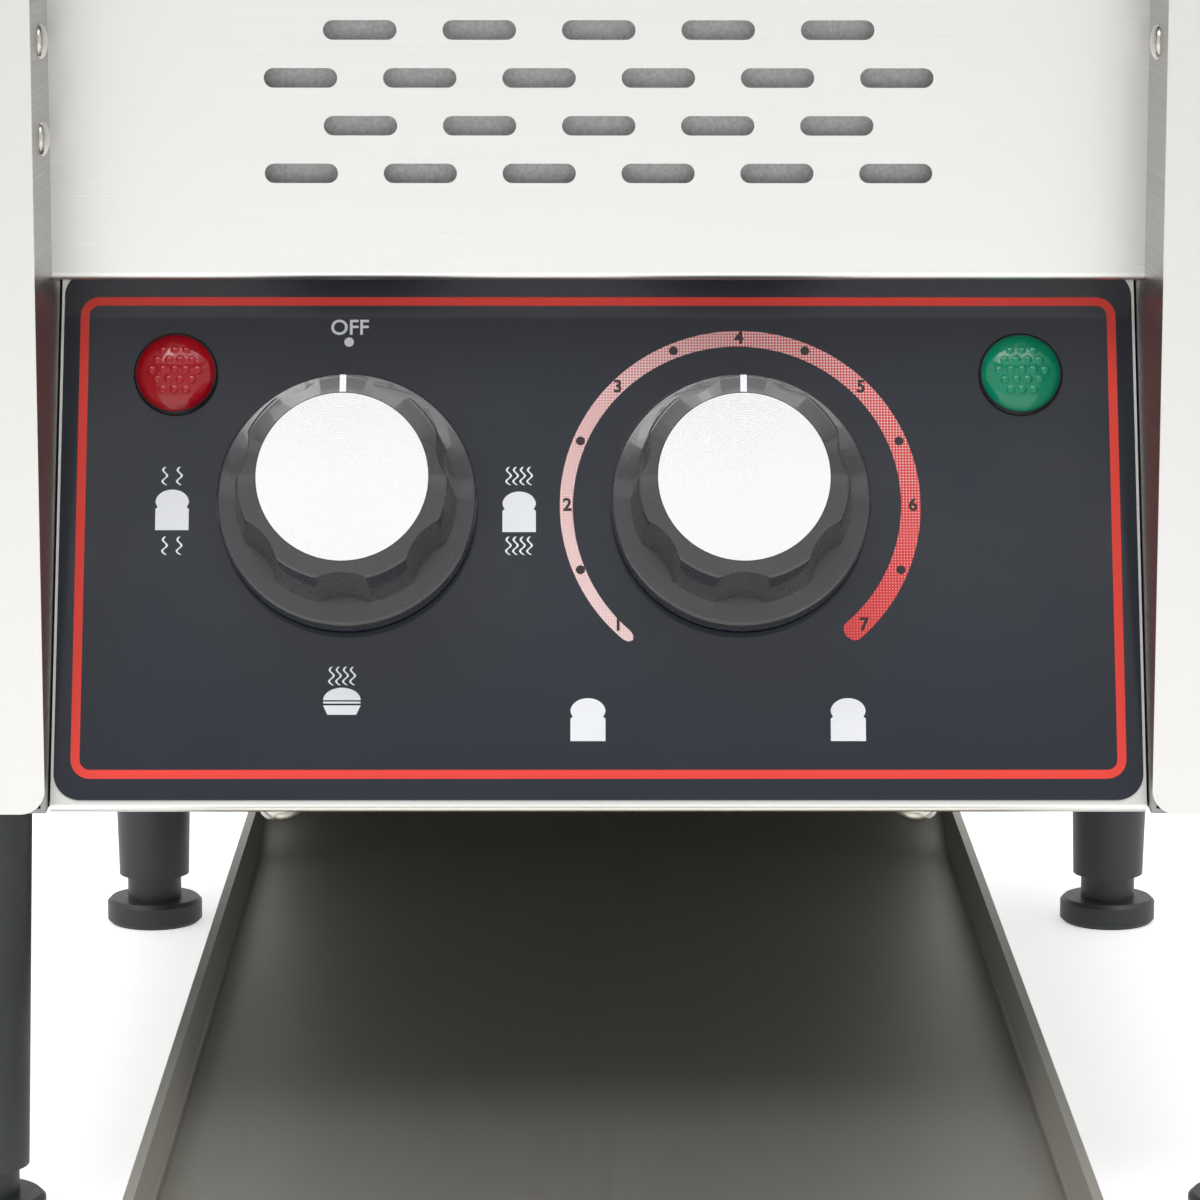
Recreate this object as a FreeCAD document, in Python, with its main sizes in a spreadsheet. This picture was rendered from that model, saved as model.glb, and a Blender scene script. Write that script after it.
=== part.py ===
import FreeCAD, Part
import math
import os
from types import SimpleNamespace
import Sketcher

Vector = FreeCAD.Vector

# Driving dimensions in millimetres and degrees, one alias each
SIZES = {
    # Housing
    "housing_width": 288.0,
    "overall_depth": 418.0,
    "overall_height": 387.0,
    "tray_reach": 90.0,
    "left_bay": 27.7,
    "right_bay": 35.7,
    "gauge": 1.0,
    "bend": 1.5,
    "lid_skirt": 16.0,
    "flange_corner": 5.0,
    "rear_fold": 14.0,
    "pan_fold": 12.0,
    "side_slot_length": 46.0,
    "side_slot_width": 4.0,
    "side_slot_pitch": 11.0,
    "side_slot_drop": 60.0,
    "side_slot_inset": 78.0,
    "rear_slot_length": 30.0,
    "rear_slot_pitch": 42.0,
    "rear_slot_drop": 66.0,
    # Bread opening and vent panel
    "opening_bottom": 268.0,
    "opening_top": 345.0,
    "header_fold": 14.0,
    "vent_recess": 31.5,
    "vent_bottom": 195.4,
    "vent_fold": 14.0,
    "vent_bend": 0.6,
    "slot_length": 15.0,
    "slot_width": 4.0,
    "slot_pitch": 24.35,
    "slot_row_pitch": 9.73,
    "slot_first_row": 22.0,
    "backing_gap": 4.0,
    "backing_width": 150.0,
    "backing_margin": 8.0,
    "shield_setback": 56.0,
    # Control panel and its label
    "panel_tilt": 22.0,
    "panel_length": 116.0,
    "panel_recess": 5.0,
    "panel_side_gap": 0.4,
    "panel_bend": 0.6,
    "panel_foot_fold": 24.0,
    "panel_head_fold": 12.0,
    "label_thickness": 0.5,
    "label_side_margin": 0.6,
    "label_foot_margin": 2.8,
    "label_head_margin": 1.0,
    "label_corner": 5.5,
    # Places on the panel: across from its middle, and up the slope from its foot
    "mode_across": -51.8,
    "speed_across": 29.3,
    "knob_up": 64.6,
    "red_lamp_across": -87.8,
    "green_lamp_across": 87.8,
    "lamp_up": 92.5,
    # Knobs
    "knob_lift": 0.8,
    "knob_height": 24.4,
    "skirt_radius": 26.8,
    "skirt_height": 5.6,
    "skirt_wall": 2.0,
    "skirt_round": 1.0,
    "grip_foot_radius": 22.0,
    "grip_top_radius": 21.2,
    "grip_round": 3.2,
    "disc_radius": 17.4,
    "disc_thickness": 0.8,
    "flute_radius": 9.6,
    "flute_depth": 2.3,
    "spindle_radius": 3.0,
    "spindle_reach": 22.0,
    "spindle_tail": 16.0,
    "running_gap": 0.05,
    # Switch and speed control behind the panel
    "neck_radius": 5.0,
    "neck_length": 5.0,
    "neck_nut_radius": 6.5,
    "neck_nut_height": 2.2,
    "hole_gap": 0.2,
    "switch_width": 36.0,
    "switch_depth": 24.0,
    "control_radius": 12.0,
    "control_depth": 14.0,
    "board_width": 44.0,
    "board_height": 34.0,
    "board_thickness": 1.6,
    # Indicator lamps
    "lens_radius": 8.25,
    "lens_rim": 1.0,
    "lens_crown": 3.6,
    "lens_neck_radius": 5.9,
    "lamp_tail": 26.0,
    "lamp_collar_radius": 8.5,
    "lamp_collar_height": 5.0,
    # Conveyor
    "belt_height": 295.0,
    "belt_radius": 15.0,
    "belt_side_gap": 14.3,
    "belt_rod_radius": 1.0,
    "belt_rod_pitch": 12.7,
    "strand_width": 3.0,
    "strand_thickness": 0.8,
    "strand_spacing": 44.0,
    "idler_setback": 27.0,
    "drive_setback": 75.0,
    "shaft_radius": 5.0,
    "shaft_overhang": 8.0,
    "bush_radius": 8.0,
    "bush_flange_radius": 10.5,
    "bush_flange": 2.0,
    "bush_length": 6.0,
    "drum_spacing": 66.0,
    "drum_width": 8.0,
    "drum_root_radius": 11.5,
    "drum_tip_radius": 13.4,
    "tooth_width": 3.0,
    "rail_width": 20.0,
    "rail_drop": 7.5,
    "rail_inset": 22.0,
    # Heaters and reflectors
    "tube_radius": 5.0,
    "tube_overhang": 8.0,
    "tube_hole_gap": 1.0,
    "upper_tube_drop": 33.0,
    "tube_pitch": 66.0,
    "cap_radius": 8.0,
    "cap_length": 12.0,
    "cap_gap": 0.1,
    "reflector_drop": 20.0,
    "reflector_fold": 10.0,
    "tray_reflector_drop": 11.0,
    "reflector_inset": 19.0,
    # Drive
    "motor_drop": 105.0,
    "motor_radius": 29.0,
    "motor_depth": 22.0,
    "motor_boss_radius": 7.0,
    "motor_boss": 2.0,
    "motor_shaft_radius": 3.5,
    "motor_shaft_length": 24.0,
    "motor_plug_width": 26.0,
    "motor_plug_height": 12.0,
    "plate_width": 74.0,
    "plate_gauge": 1.5,
    "chain_plane_inset": 5.0,
    "sprocket_width": 3.0,
    "small_sprocket_radius": 9.3,
    "large_sprocket_radius": 15.3,
    "sprocket_tooth": 1.3,
    "chain_gap": 0.5,
    "chain_thickness": 2.6,
    "chain_width": 4.0,
    # Feed rack
    "rack_setback": 7.0,
    "rack_rise": 17.5,
    "rack_slope": 21.0,
    "rack_length": 92.0,
    "rack_side_gap": 14.3,
    "rack_bar_radius": 2.0,
    "rack_wire_radius": 1.4,
    "rack_pin": 3.0,
    "rack_lip": 12.0,
    "rack_bend": 4.0,
    "rack_stop_radius": 1.5,
    "rack_stop_reach": 4.5,
    "rest_gap": 0.3,
    # Toast chute, receiving tray and the shelf that carries it
    "chute_top": 276.0,
    "chute_bend_height": 160.0,
    "chute_bend": 60.0,
    "chute_back_gap": 6.0,
    "chute_lean": 18.0,
    "pan_opening_front": 190.0,
    "pan_opening_margin": 12.0,
    "tray_offset": -1.6,
    "tray_width": 183.6,
    "tray_floor": 22.0,
    "tray_wall": 13.0,
    "tray_hem": 6.0,
    "tray_rear_gap": 19.4,
    "scoop_bend": 46.0,
    "scoop_top": 84.0,
    "shelf_half_width": 70.0,
    "shelf_gap": 0.2,
    "shelf_plate_gap": 6.0,
    "shelf_front": 118.0,
    "shelf_gauge": 2.0,
    "shelf_fold": 7.0,
    # Legs and screw feet
    "leg_height": 90.0,
    "leg_inset": 12.4,
    "front_leg_setback": 13.0,
    "rear_leg_setback": 47.4,
    "rear_left_leg_inset": 23.8,
    "leg_top_radius": 11.2,
    "leg_foot_radius": 9.1,
    "leg_foot_height": 13.0,
    "leg_socket_depth": 21.0,
    "foot_radius": 12.4,
    "foot_height": 6.6,
    "foot_round": 1.0,
    "foot_neck_radius": 7.0,
    "foot_neck_height": 27.0,
    "stud_radius": 3.0,
    "stud_length": 9.0,
    "leg_nut_radius": 5.5,
    "leg_nut_height": 4.0,
    "leg_nut_gap": 1.5,
    # Screws, gland and terminal block
    "screw_head_radius": 3.6,
    "screw_head_height": 1.6,
    "screw_shank_radius": 1.8,
    "screw_shank_length": 5.0,
    "rear_screw_inset": 7.0,
    "rear_screw_spacing": 92.0,
    "lip_screw_spacing": 130.5,
    "lip_screw_radius": 4.5,
    "lip_screw_height": 3.0,
    "lip_screw_setback": 7.0,
    "recess_screw_height": 245.0,
    "recess_screw_drop": 19.5,
    "recess_screw_setback": 17.0,
    "gland_setback": 95.0,
    "gland_inset": 13.5,
    "gland_radius": 9.0,
    "gland_bore": 4.0,
    "gland_drop": 12.0,
    "gland_rise": 8.0,
    "gland_neck_radius": 7.0,
    "block_width": 16.0,
    "block_length": 44.0,
    "block_height": 18.0,
    # One overrun for every cut
    "overrun": 2.0,
}

# Counts of what repeats
FLUTES = 7
SHOULDER_TURNS = (0, 30, 60, 90)
VENT_ROWS = (6, 5, 6, 5, 6)
SIDE_SLOTS = 7
REAR_SLOTS = 5
DRUM_TEETH = 8
STRANDS = 5
UPPER_TUBES = 3
LOWER_TUBES = 2
RACK_WIRES = 9
SMALL_TEETH = 9
LARGE_TEETH = 15

doc = FreeCAD.newDocument("ConveyorToaster")
sheet = doc.addObject("Spreadsheet::Sheet", "Sizes")
for row, (alias, number) in enumerate(SIZES.items(), start=1):
    sheet.set(f"A{row}", alias)
    sheet.set(f"B{row}", str(number))
    sheet.setAlias(f"B{row}", alias)
doc.recompute()


class Size:
    """A size that keeps its formula, for the document, beside its present value."""

    def __init__(self, text, value):
        self.text = text
        self.value = value

    def joined(self, sign, other, value):
        return Size(f"({self.text} {sign} {other.text})", value)

    def __add__(self, other):
        other = as_size(other)
        return self.joined("+", other, self.value + other.value)

    def __sub__(self, other):
        other = as_size(other)
        return self.joined("-", other, self.value - other.value)

    def __mul__(self, other):
        other = as_size(other)
        return self.joined("*", other, self.value * other.value)

    def __truediv__(self, other):
        other = as_size(other)
        return self.joined("/", other, self.value / other.value)

    def __rsub__(self, other):
        return as_size(other) - self

    def __neg__(self):
        return Size(f"(-1 * {self.text})", -self.value)

    def __float__(self):
        return float(self.value)

    __radd__ = __add__
    __rmul__ = __mul__


def as_size(number):
    return number if isinstance(number, Size) else Size(repr(number), number)


def sine(angle):
    return Size(f"sin({angle.text} * 1deg)", math.sin(math.radians(angle.value)))


def cosine(angle):
    return Size(f"cos({angle.text} * 1deg)", math.cos(math.radians(angle.value)))


size = SimpleNamespace(**{name: Size(f"Sizes.{name}", sheet.get(name)) for name in SIZES})

# Planes and middles that several pieces share, worked out from the sheet
half_width = size.housing_width / 2
back = size.overall_depth / 2
front = size.tray_reach - back
rear_face = back - size.screw_head_height
left_wall = size.left_bay - half_width
right_wall = half_width - size.right_bay
tunnel = right_wall - left_wall
middle = (left_wall + right_wall) / 2
lid = size.overall_height - size.gauge
pan_top = size.leg_height + size.gauge
panel_floor = size.leg_height - size.gauge
panel_front = front + size.panel_recess
vent_front = front + size.vent_recess
vent_back = vent_front + size.gauge
idler_place = front + size.idler_setback
drive_place = rear_face - size.drive_setback
panel_half = tunnel / 2 - size.panel_side_gap
belt_half = tunnel / 2 - size.belt_side_gap
rack_half = tunnel / 2 - size.rack_side_gap
nodes = []


def node(name, piece):
    """Give a finished sub-part its own label and list it."""
    piece.Label = name
    nodes.append(piece)
    return piece


def bind(piece, field, amount):
    """Tie one field of an object to the sheet."""
    piece.setExpression(field, as_size(amount).text)


def place(piece, spot, axis=Vector(0, 0, 1), angle=0):
    """Stand an object at a spot whose three coordinates follow the sheet."""
    turn = FreeCAD.Rotation(axis, float(angle))
    piece.Placement = FreeCAD.Placement(Vector(*(float(way) for way in spot)), turn)
    for letter, way in zip("xyz", spot):
        bind(piece, f"Placement.Base.{letter}", way)
    if isinstance(angle, Size):
        piece.setExpression("Placement.Rotation.Angle", f"{angle.text} * 1deg")
    return piece


def box(name, corner, lengths):
    """A block from its lowest corner."""
    piece = doc.addObject("Part::Box", name)
    for field, length in zip(("Length", "Width", "Height"), lengths):
        bind(piece, field, length)
    return place(piece, corner)


AXES = {
    "X": (Vector(0, 1, 0), 90),
    "-X": (Vector(0, 1, 0), -90),
    "Y": (Vector(1, 0, 0), -90),
    "-Y": (Vector(1, 0, 0), 90),
    "Z": (Vector(0, 0, 1), 0),
}


def rod(name, start, radius, length, way="Z"):
    """A cylinder that runs from its start along one axis of the frame."""
    piece = doc.addObject("Part::Cylinder", name)
    bind(piece, "Radius", radius)
    bind(piece, "Height", length)
    return place(piece, start, *AXES[way])


def cut(name, base, tool):
    piece = doc.addObject("Part::Cut", name)
    piece.Base = base
    piece.Tool = tool
    return piece


def fuse(name, pieces):
    piece = doc.addObject("Part::MultiFuse", name)
    piece.Shapes = pieces
    return piece


def group(name, pieces):
    """Separate solids that share one node."""
    piece = doc.addObject("Part::Compound", name)
    piece.Links = pieces
    return piece


def formed(name, shape):
    """A shape made by formula from the sheet."""
    piece = doc.addObject("Part::Feature", name)
    piece.Shape = shape
    return piece


# Turns that lay a flat drawing and its depth along the frame's axes
FLAT = FreeCAD.Rotation()
SIDEWAYS = FreeCAD.Rotation(Vector(0, 1, 0), Vector(0, 0, 1), Vector(1, 0, 0), "ZXY")
FRONTAL = FreeCAD.Rotation(Vector(1, 0, 0), Vector(0, 0, 1), Vector(0, -1, 0), "ZXY")


def sheet_face(path, gauge, bend):
    """The section of a folded sheet whose centre line runs through the corners of path."""
    half = gauge / 2
    radius = bend + half
    upper = []
    lower = []
    start = path[0]
    for index in range(1, len(path)):
        corner = path[index]
        along = (corner - path[index - 1]).normalize()
        normal = Vector(-along.y, along.x, 0)
        bends = index < len(path) - 1
        stop = corner
        if bends:
            onward = (path[index + 1] - corner).normalize()
            turn = math.atan2(along.x * onward.y - along.y * onward.x, along.dot(onward))
            setback = radius * math.tan(abs(turn) / 2)
            stop = corner - along * setback
        upper.append(Part.LineSegment(start + normal * half, stop + normal * half))
        lower.append(Part.LineSegment(start - normal * half, stop - normal * half))
        if bends:
            centre = stop + normal * math.copysign(radius, turn)
            after = corner + onward * setback
            next_normal = Vector(-onward.y, onward.x, 0)
            for edges, offset in ((upper, half), (lower, -half)):
                first = stop + normal * offset
                last = after + next_normal * offset
                chord = (first - centre) + (last - centre)
                crown = centre + chord.normalize() * (first - centre).Length
                edges.append(Part.Arc(first, crown, last))
            start = after
    caps = [
        Part.LineSegment(upper[0].StartPoint, lower[0].StartPoint),
        Part.LineSegment(upper[-1].EndPoint, lower[-1].EndPoint),
    ]
    edges = [curve.toShape() for curve in upper + lower + caps]
    return Part.Face(Part.Wire(Part.sortEdges(edges)[0]))


def folded(path, span, turn, gauge=size.gauge, bend=size.bend):
    """A folded sheet: its section along path, drawn out over span."""
    corners = [Vector(float(first), float(second), 0) for first, second in path]
    low, high = float(span[0]), float(span[1])
    shape = sheet_face(corners, float(gauge), float(bend)).extrude(Vector(0, 0, high - low))
    start = turn.multVec(Vector(0, 0, low))
    if turn == FRONTAL:
        start = Vector(0, high, 0)
    shape.Placement = FreeCAD.Placement(start, turn)
    return shape


def slot_shape(length, width, depth):
    """A prism with round ends, lying along the first axis and centred on its middle."""
    reach = (length - width) / 2
    half = width / 2
    edges = [
        Part.LineSegment(Vector(-reach, half, 0), Vector(reach, half, 0)),
        Part.Arc(Vector(reach, half, 0), Vector(reach + half, 0, 0), Vector(reach, -half, 0)),
        Part.LineSegment(Vector(reach, -half, 0), Vector(-reach, -half, 0)),
        Part.Arc(Vector(-reach, -half, 0), Vector(-reach - half, 0, 0), Vector(-reach, half, 0)),
    ]
    face = Part.Face(Part.Wire([edge.toShape() for edge in edges]))
    return face.extrude(Vector(0, 0, depth))


def slots(name, spots, length, width, depth, turn):
    """A cutter with one slot at each spot."""
    shapes = []
    for spot in spots:
        shape = slot_shape(float(length), float(width), float(depth))
        shape.Placement = FreeCAD.Placement(Vector(*(float(way) for way in spot)), turn)
        shapes.append(shape)
    return formed(name, Part.makeCompound(shapes))


def origin_part(body, role):
    return next(part for part in body.Origin.OriginFeatures if part.Role == role)


def drawing(body, name, plane, points):
    """A closed sketch on a plane of the body, each corner tied to the sheet."""
    sketch = body.newObject("Sketcher::SketchObject", name)
    sketch.AttachmentSupport = (origin_part(body, plane), [""])
    sketch.MapMode = "FlatFace"
    corners = [Vector(float(first), float(second), 0) for first, second in points]
    for index, corner in enumerate(corners):
        sketch.addGeometry(Part.LineSegment(corner, corners[(index + 1) % len(corners)]))
    for index, point in enumerate(points):
        sketch.addConstraint(Sketcher.Constraint("Coincident", index, 2, (index + 1) % len(points), 1))
        for kind, axis, amount in (("DistanceX", -2, point[0]), ("DistanceY", -1, point[1])):
            if float(amount) == 0:
                sketch.addConstraint(Sketcher.Constraint("PointOnObject", index, 1, axis))
            else:
                tie = sketch.addConstraint(Sketcher.Constraint(kind, -1, 1, index, 1, float(amount)))
                sketch.setExpression(f"Constraints[{tie}]", as_size(amount).text)
    return sketch


def turned(name, points):
    """A body turned about its own Z axis from a half section of radii and heights."""
    body = doc.addObject("PartDesign::Body", name)
    sketch = drawing(body, name + "_section", "XZ_Plane", points)
    turning = body.newObject("PartDesign::Revolution", name + "_turning")
    turning.Profile = (sketch, [""])
    turning.ReferenceAxis = (origin_part(body, "Z_Axis"), [""])
    turning.Angle = 360
    sketch.Visibility = False
    return body


def panel_spot(across, up, out):
    """A spot on the sloped panel: across from its middle, up its slope and out of its face."""
    tilt = size.panel_tilt
    return (
        middle + across,
        panel_front + up * sine(tilt) - out * cosine(tilt),
        panel_floor + up * cosine(tilt) + out * sine(tilt),
    )


def on_panel(piece, across, up, out):
    """Stand a piece square on the sloped panel."""
    square = Size("90", 90) - size.panel_tilt
    return place(piece, panel_spot(across, up, out), Vector(1, 0, 0), square)


# Side covers: a channel round each bay, open at the bottom, with louvre slots
def side_cover(name, side, wall):
    edge = half_width - size.gauge / 2
    path = [
        (wall, front + size.gauge / 2),
        (side * edge, front + size.gauge / 2),
        (side * edge, rear_face - size.gauge * 1.5),
        (side * (half_width - size.rear_fold), rear_face - size.gauge * 1.5),
    ]
    shape = folded(path, (size.leg_height, lid), FLAT)
    corner = [
        edge
        for edge in shape.Edges
        if edge.BoundBox.XLength + edge.BoundBox.ZLength < edge.BoundBox.YLength
        and abs(edge.CenterOfMass.x - float(wall)) < float(size.gauge) / 2
        and abs(edge.CenterOfMass.z - float(size.leg_height)) < float(size.gauge) / 2
    ]
    shape = shape.makeFillet(float(size.flange_corner), corner)
    channel = formed(name + "_channel", shape)
    notch_left = -half_width if side < 0 else wall
    notch_width = size.left_bay if side < 0 else size.right_bay
    notches = []
    for label, start, depth in (
        ("front", front - size.overrun, size.overrun + size.gauge),
        ("rear", rear_face - size.gauge * 2, size.gauge * 2),
    ):
        corner_spot = (notch_left, start, size.overall_height - size.lid_skirt)
        notches.append(box(f"{name}_{label}_notch", corner_spot, (notch_width, depth, size.lid_skirt)))
    spots = []
    for row in range(SIDE_SLOTS):
        height = size.leg_height + size.side_slot_drop + size.side_slot_pitch * row
        spots.append((side * half_width - size.overrun, rear_face - size.side_slot_inset, height))
    louvres = slots(
        name + "_louvres", spots, size.side_slot_length, size.side_slot_width, size.overrun * 2, SIDEWAYS
    )
    tools = fuse(name + "_cutters", notches + [louvres, rear_screw_holes])
    return node(name, cut(name, channel, tools))


# Rear screws and their holes, shared by the rear panel and the covers' rear folds
screw_heights = [
    size.leg_height + size.rear_screw_inset + size.rear_screw_spacing * step
    for step in range(3)
]
rear_spots = [
    (side * (half_width - size.rear_screw_inset), rear_face, height)
    for side in (-1, 1)
    for height in screw_heights
]


def dome_screw(name, spot, way, head_radius, head_height):
    """A screw with a domed head: spot is under its head and way points along its shank."""
    dome = doc.addObject("Part::Ellipsoid", name + "_dome")
    bind(dome, "Radius1", head_height)
    bind(dome, "Radius2", head_radius)
    bind(dome, "Radius3", head_radius)
    dome.Angle1 = -90
    dome.Angle2 = 0
    place(dome, spot, *AXES[way])
    shank = rod(name + "_shank", spot, size.screw_shank_radius, size.screw_shank_length, way)
    return fuse(name, [dome, shank])


rear_screw_holes = fuse(
    "rear_screw_holes",
    [
        rod(
            f"rear_hole_{index}",
            (spot[0], spot[1] + size.overrun, spot[2]),
            size.screw_shank_radius + size.hole_gap,
            size.overrun + size.screw_shank_length,
            "-Y",
        )
        for index, spot in enumerate(rear_spots)
    ],
)
side_cover("left_side_cover", -1, left_wall)
side_cover("right_side_cover", 1, right_wall)
node(
    "rear_screws",
    group(
        "rear_screws",
        [
            dome_screw(f"rear_screw_{index}", spot, "-Y", size.screw_head_radius, size.screw_head_height)
            for index, spot in enumerate(rear_spots)
        ],
    ),
)

# Rear panel: a flat sheet with one row of vent slots
rear_sheet = box(
    "rear_sheet",
    (-half_width, rear_face - size.gauge, size.leg_height),
    (size.housing_width, size.gauge, size.overall_height - size.lid_skirt - size.leg_height),
)
rear_slots = slots(
    "rear_slots",
    [
        (size.rear_slot_pitch * (step - (REAR_SLOTS - 1) / 2), rear_face + size.overrun, lid - size.rear_slot_drop)
        for step in range(REAR_SLOTS)
    ],
    size.rear_slot_length,
    size.slot_width,
    size.overrun * 2,
    FRONTAL,
)
node("rear_panel", cut("rear_panel", rear_sheet, fuse("rear_cutters", [rear_slots, rear_screw_holes])))

# Lid: folded down at the front and the back
lid_path = [
    (front + size.gauge / 2, size.overall_height - size.lid_skirt),
    (front + size.gauge / 2, size.overall_height - size.gauge / 2),
    (rear_face - size.gauge / 2, size.overall_height - size.gauge / 2),
    (rear_face - size.gauge / 2, size.overall_height - size.lid_skirt),
]
node("top_cover", formed("top_cover", folded(lid_path, (-half_width, half_width), SIDEWAYS)))

# Front header above the bread opening
header_path = [
    (front + size.gauge / 2, size.overall_height - size.lid_skirt),
    (front + size.gauge / 2, size.opening_top + size.gauge / 2),
    (front + size.header_fold, size.opening_top + size.gauge / 2),
]
node("front_header", formed("front_header", folded(header_path, (left_wall, right_wall), SIDEWAYS)))

# Base pan: floor sheet with upturned sides, notched for the panel and opened for the chute
pan_edge = half_width - size.gauge * 1.5
pan_level = size.leg_height + size.gauge / 2
pan_path = [
    (-pan_edge, size.leg_height + size.pan_fold),
    (-pan_edge, pan_level),
    (pan_edge, pan_level),
    (pan_edge, size.leg_height + size.pan_fold),
]
pan_sheet = formed(
    "pan_sheet", folded(pan_path, (front + size.gauge, rear_face - size.gauge * 2), FRONTAL)
)
leg_spots = {
    "front_left": (-half_width + size.leg_inset, front + size.front_leg_setback),
    "front_right": (half_width - size.leg_inset, front + size.front_leg_setback),
    "rear_left": (-half_width + size.rear_left_leg_inset, rear_face - size.rear_leg_setback),
    "rear_right": (half_width - size.leg_inset, rear_face - size.rear_leg_setback),
}
pan_low = size.leg_height - size.overrun
pan_cut = size.overrun * 2 + size.gauge
notch = box(
    "panel_notch",
    (left_wall, front, pan_low),
    (tunnel, size.panel_recess + size.panel_bend + size.gauge * 2, pan_cut),
)
chute_hole = box(
    "chute_hole",
    (left_wall + size.pan_opening_margin, rear_face - size.pan_opening_front, pan_low),
    (tunnel - size.pan_opening_margin * 2, size.pan_opening_front - size.rear_fold, pan_cut),
)
stud_holes = [
    rod(f"{name}_stud_hole", (spot[0], spot[1], pan_low), size.stud_radius + size.hole_gap, pan_cut)
    for name, spot in leg_spots.items()
]
gland_spot = (-half_width + size.gland_inset, rear_face - size.gland_setback)
gland_hole = rod(
    "gland_hole", (gland_spot[0], gland_spot[1], pan_low), size.gland_neck_radius + size.hole_gap, pan_cut
)
lip_spots = [
    (middle + size.lip_screw_spacing / 2 * side, panel_front + size.lip_screw_setback, panel_floor)
    for side in (-1, 1)
]
lip_holes = fuse(
    "lip_holes",
    [
        rod(
            f"lip_hole_{index}",
            (spot[0], spot[1], spot[2] - size.overrun),
            size.screw_shank_radius + size.hole_gap,
            pan_cut + size.gauge,
        )
        for index, spot in enumerate(lip_spots)
    ],
)
pan_cutters = fuse("pan_cutters", [notch, chute_hole, gland_hole, lip_holes] + stud_holes)
node("base_pan", cut("base_pan", pan_sheet, pan_cutters))
node(
    "lip_screws",
    group(
        "lip_screws",
        [
            dome_screw(f"lip_screw_{index}", spot, "Z", size.lip_screw_radius, size.lip_screw_height)
            for index, spot in enumerate(lip_spots)
        ],
    ),
)


# Inner walls between the bays and the toasting tunnel, with holes for shafts and heater tubes
def tube_places():
    """Where each heater tube crosses the tunnel, as place along the depth and height."""
    centre = (idler_place + drive_place) / 2
    upper = [
        (centre + size.tube_pitch * (step - (UPPER_TUBES - 1) / 2), lid - size.upper_tube_drop)
        for step in range(UPPER_TUBES)
    ]
    lower = [
        (centre + size.tube_pitch * (step - (LOWER_TUBES - 1) / 2), size.belt_height)
        for step in range(LOWER_TUBES)
    ]
    return upper, lower


upper_places, lower_places = tube_places()
rack_place = front + size.rack_setback
rack_height = size.belt_height + size.rack_rise
recess_spots = [
    (wall, way, front + size.recess_screw_setback, size.recess_screw_height - drop)
    for wall, way, drops in (
        (left_wall, "-X", (size.gauge * 0, size.recess_screw_drop)),
        (right_wall, "X", (size.gauge * 0,)),
    )
    for drop in drops
]
stop_lift = size.rack_bar_radius - size.rest_gap - size.rack_stop_radius
stop_place = (
    rack_place
    - size.rack_stop_reach * cosine(size.rack_slope)
    + stop_lift * sine(size.rack_slope)
)
stop_height = (
    rack_height
    + size.rack_stop_reach * sine(size.rack_slope)
    + stop_lift * cosine(size.rack_slope)
)
stop_length = size.rack_side_gap + size.rack_wire_radius * 3
for label, wall, start in (("left", left_wall, left_wall - size.gauge), ("right", right_wall, right_wall)):
    plate = box(
        f"{label}_wall_plate",
        (start, front + size.gauge, pan_top),
        (size.gauge, rear_face - front - size.gauge * 2, lid - pan_top),
    )
    low = start - size.overrun
    through = size.gauge + size.overrun * 2
    tools = []
    for index, spot in enumerate((idler_place, drive_place)):
        tools.append(rod(f"{label}_bush_hole_{index}", (low, spot, size.belt_height), size.bush_radius, through, "X"))
    for index, (spot, height) in enumerate(upper_places + lower_places):
        radius = size.tube_radius + size.tube_hole_gap
        tools.append(rod(f"{label}_tube_hole_{index}", (low, spot, height), radius, through, "X"))
    radius = size.rack_bar_radius + size.running_gap
    tools.append(rod(f"{label}_rack_hole", (low, rack_place, rack_height), radius, through, "X"))
    for index, (side, way, spot, height) in enumerate(recess_spots):
        if side is wall:
            radius = size.screw_shank_radius + size.hole_gap
            tools.append(rod(f"{label}_recess_hole_{index}", (low, spot, height), radius, through, "X"))
    if label == "left":
        nut_reach = size.leg_nut_radius + size.leg_nut_gap
        stud_corner = (low, leg_spots["rear_left"][1] - nut_reach, pan_top)
        tools.append(box("stud_notch", stud_corner, (through, nut_reach * 2, size.stud_length + size.leg_nut_gap)))
    drilled = cut(f"{label}_drilled_wall", plate, fuse(f"{label}_wall_cutters", tools))
    way = "X" if label == "left" else "-X"
    stop = rod(f"{label}_rack_stop", (wall, stop_place, stop_height), size.rack_stop_radius, stop_length, way)
    node(f"{label}_inner_wall", fuse(f"{label}_inner_wall", [drilled, stop]))
node(
    "recess_screws",
    group(
        "recess_screws",
        [
            dome_screw(
                f"recess_screw_{index}",
                (wall, spot, height),
                way,
                size.screw_head_radius,
                size.screw_head_height,
            )
            for index, (wall, way, spot, height) in enumerate(recess_spots)
        ],
    ),
)

# Vent panel below the opening, with staggered rows of slots, and the plate behind them
vent_path = [
    (vent_front + size.vent_fold, size.opening_bottom - size.gauge / 2),
    (vent_front + size.gauge / 2, size.opening_bottom - size.gauge / 2),
    (vent_front + size.gauge / 2, size.vent_bottom + size.gauge / 2),
    (vent_front + size.vent_fold, size.vent_bottom + size.gauge / 2),
]
vent_sheet = formed(
    "vent_sheet", folded(vent_path, (left_wall, right_wall), SIDEWAYS, bend=size.vent_bend)
)
vent_spots = [
    (
        middle + size.slot_pitch * (step - (count - 1) / 2),
        vent_front + size.overrun,
        size.vent_bottom + size.slot_first_row + size.slot_row_pitch * row,
    )
    for row, count in enumerate(VENT_ROWS)
    for step in range(count)
]
vent_slots = slots("vent_slots", vent_spots, size.slot_length, size.slot_width, size.overrun * 2, FRONTAL)
node("vent_panel", cut("vent_panel", vent_sheet, vent_slots))
backing_plane = vent_back + size.backing_gap
backing_low = size.vent_bottom + size.backing_margin
backing_high = size.opening_bottom - size.backing_margin
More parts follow.
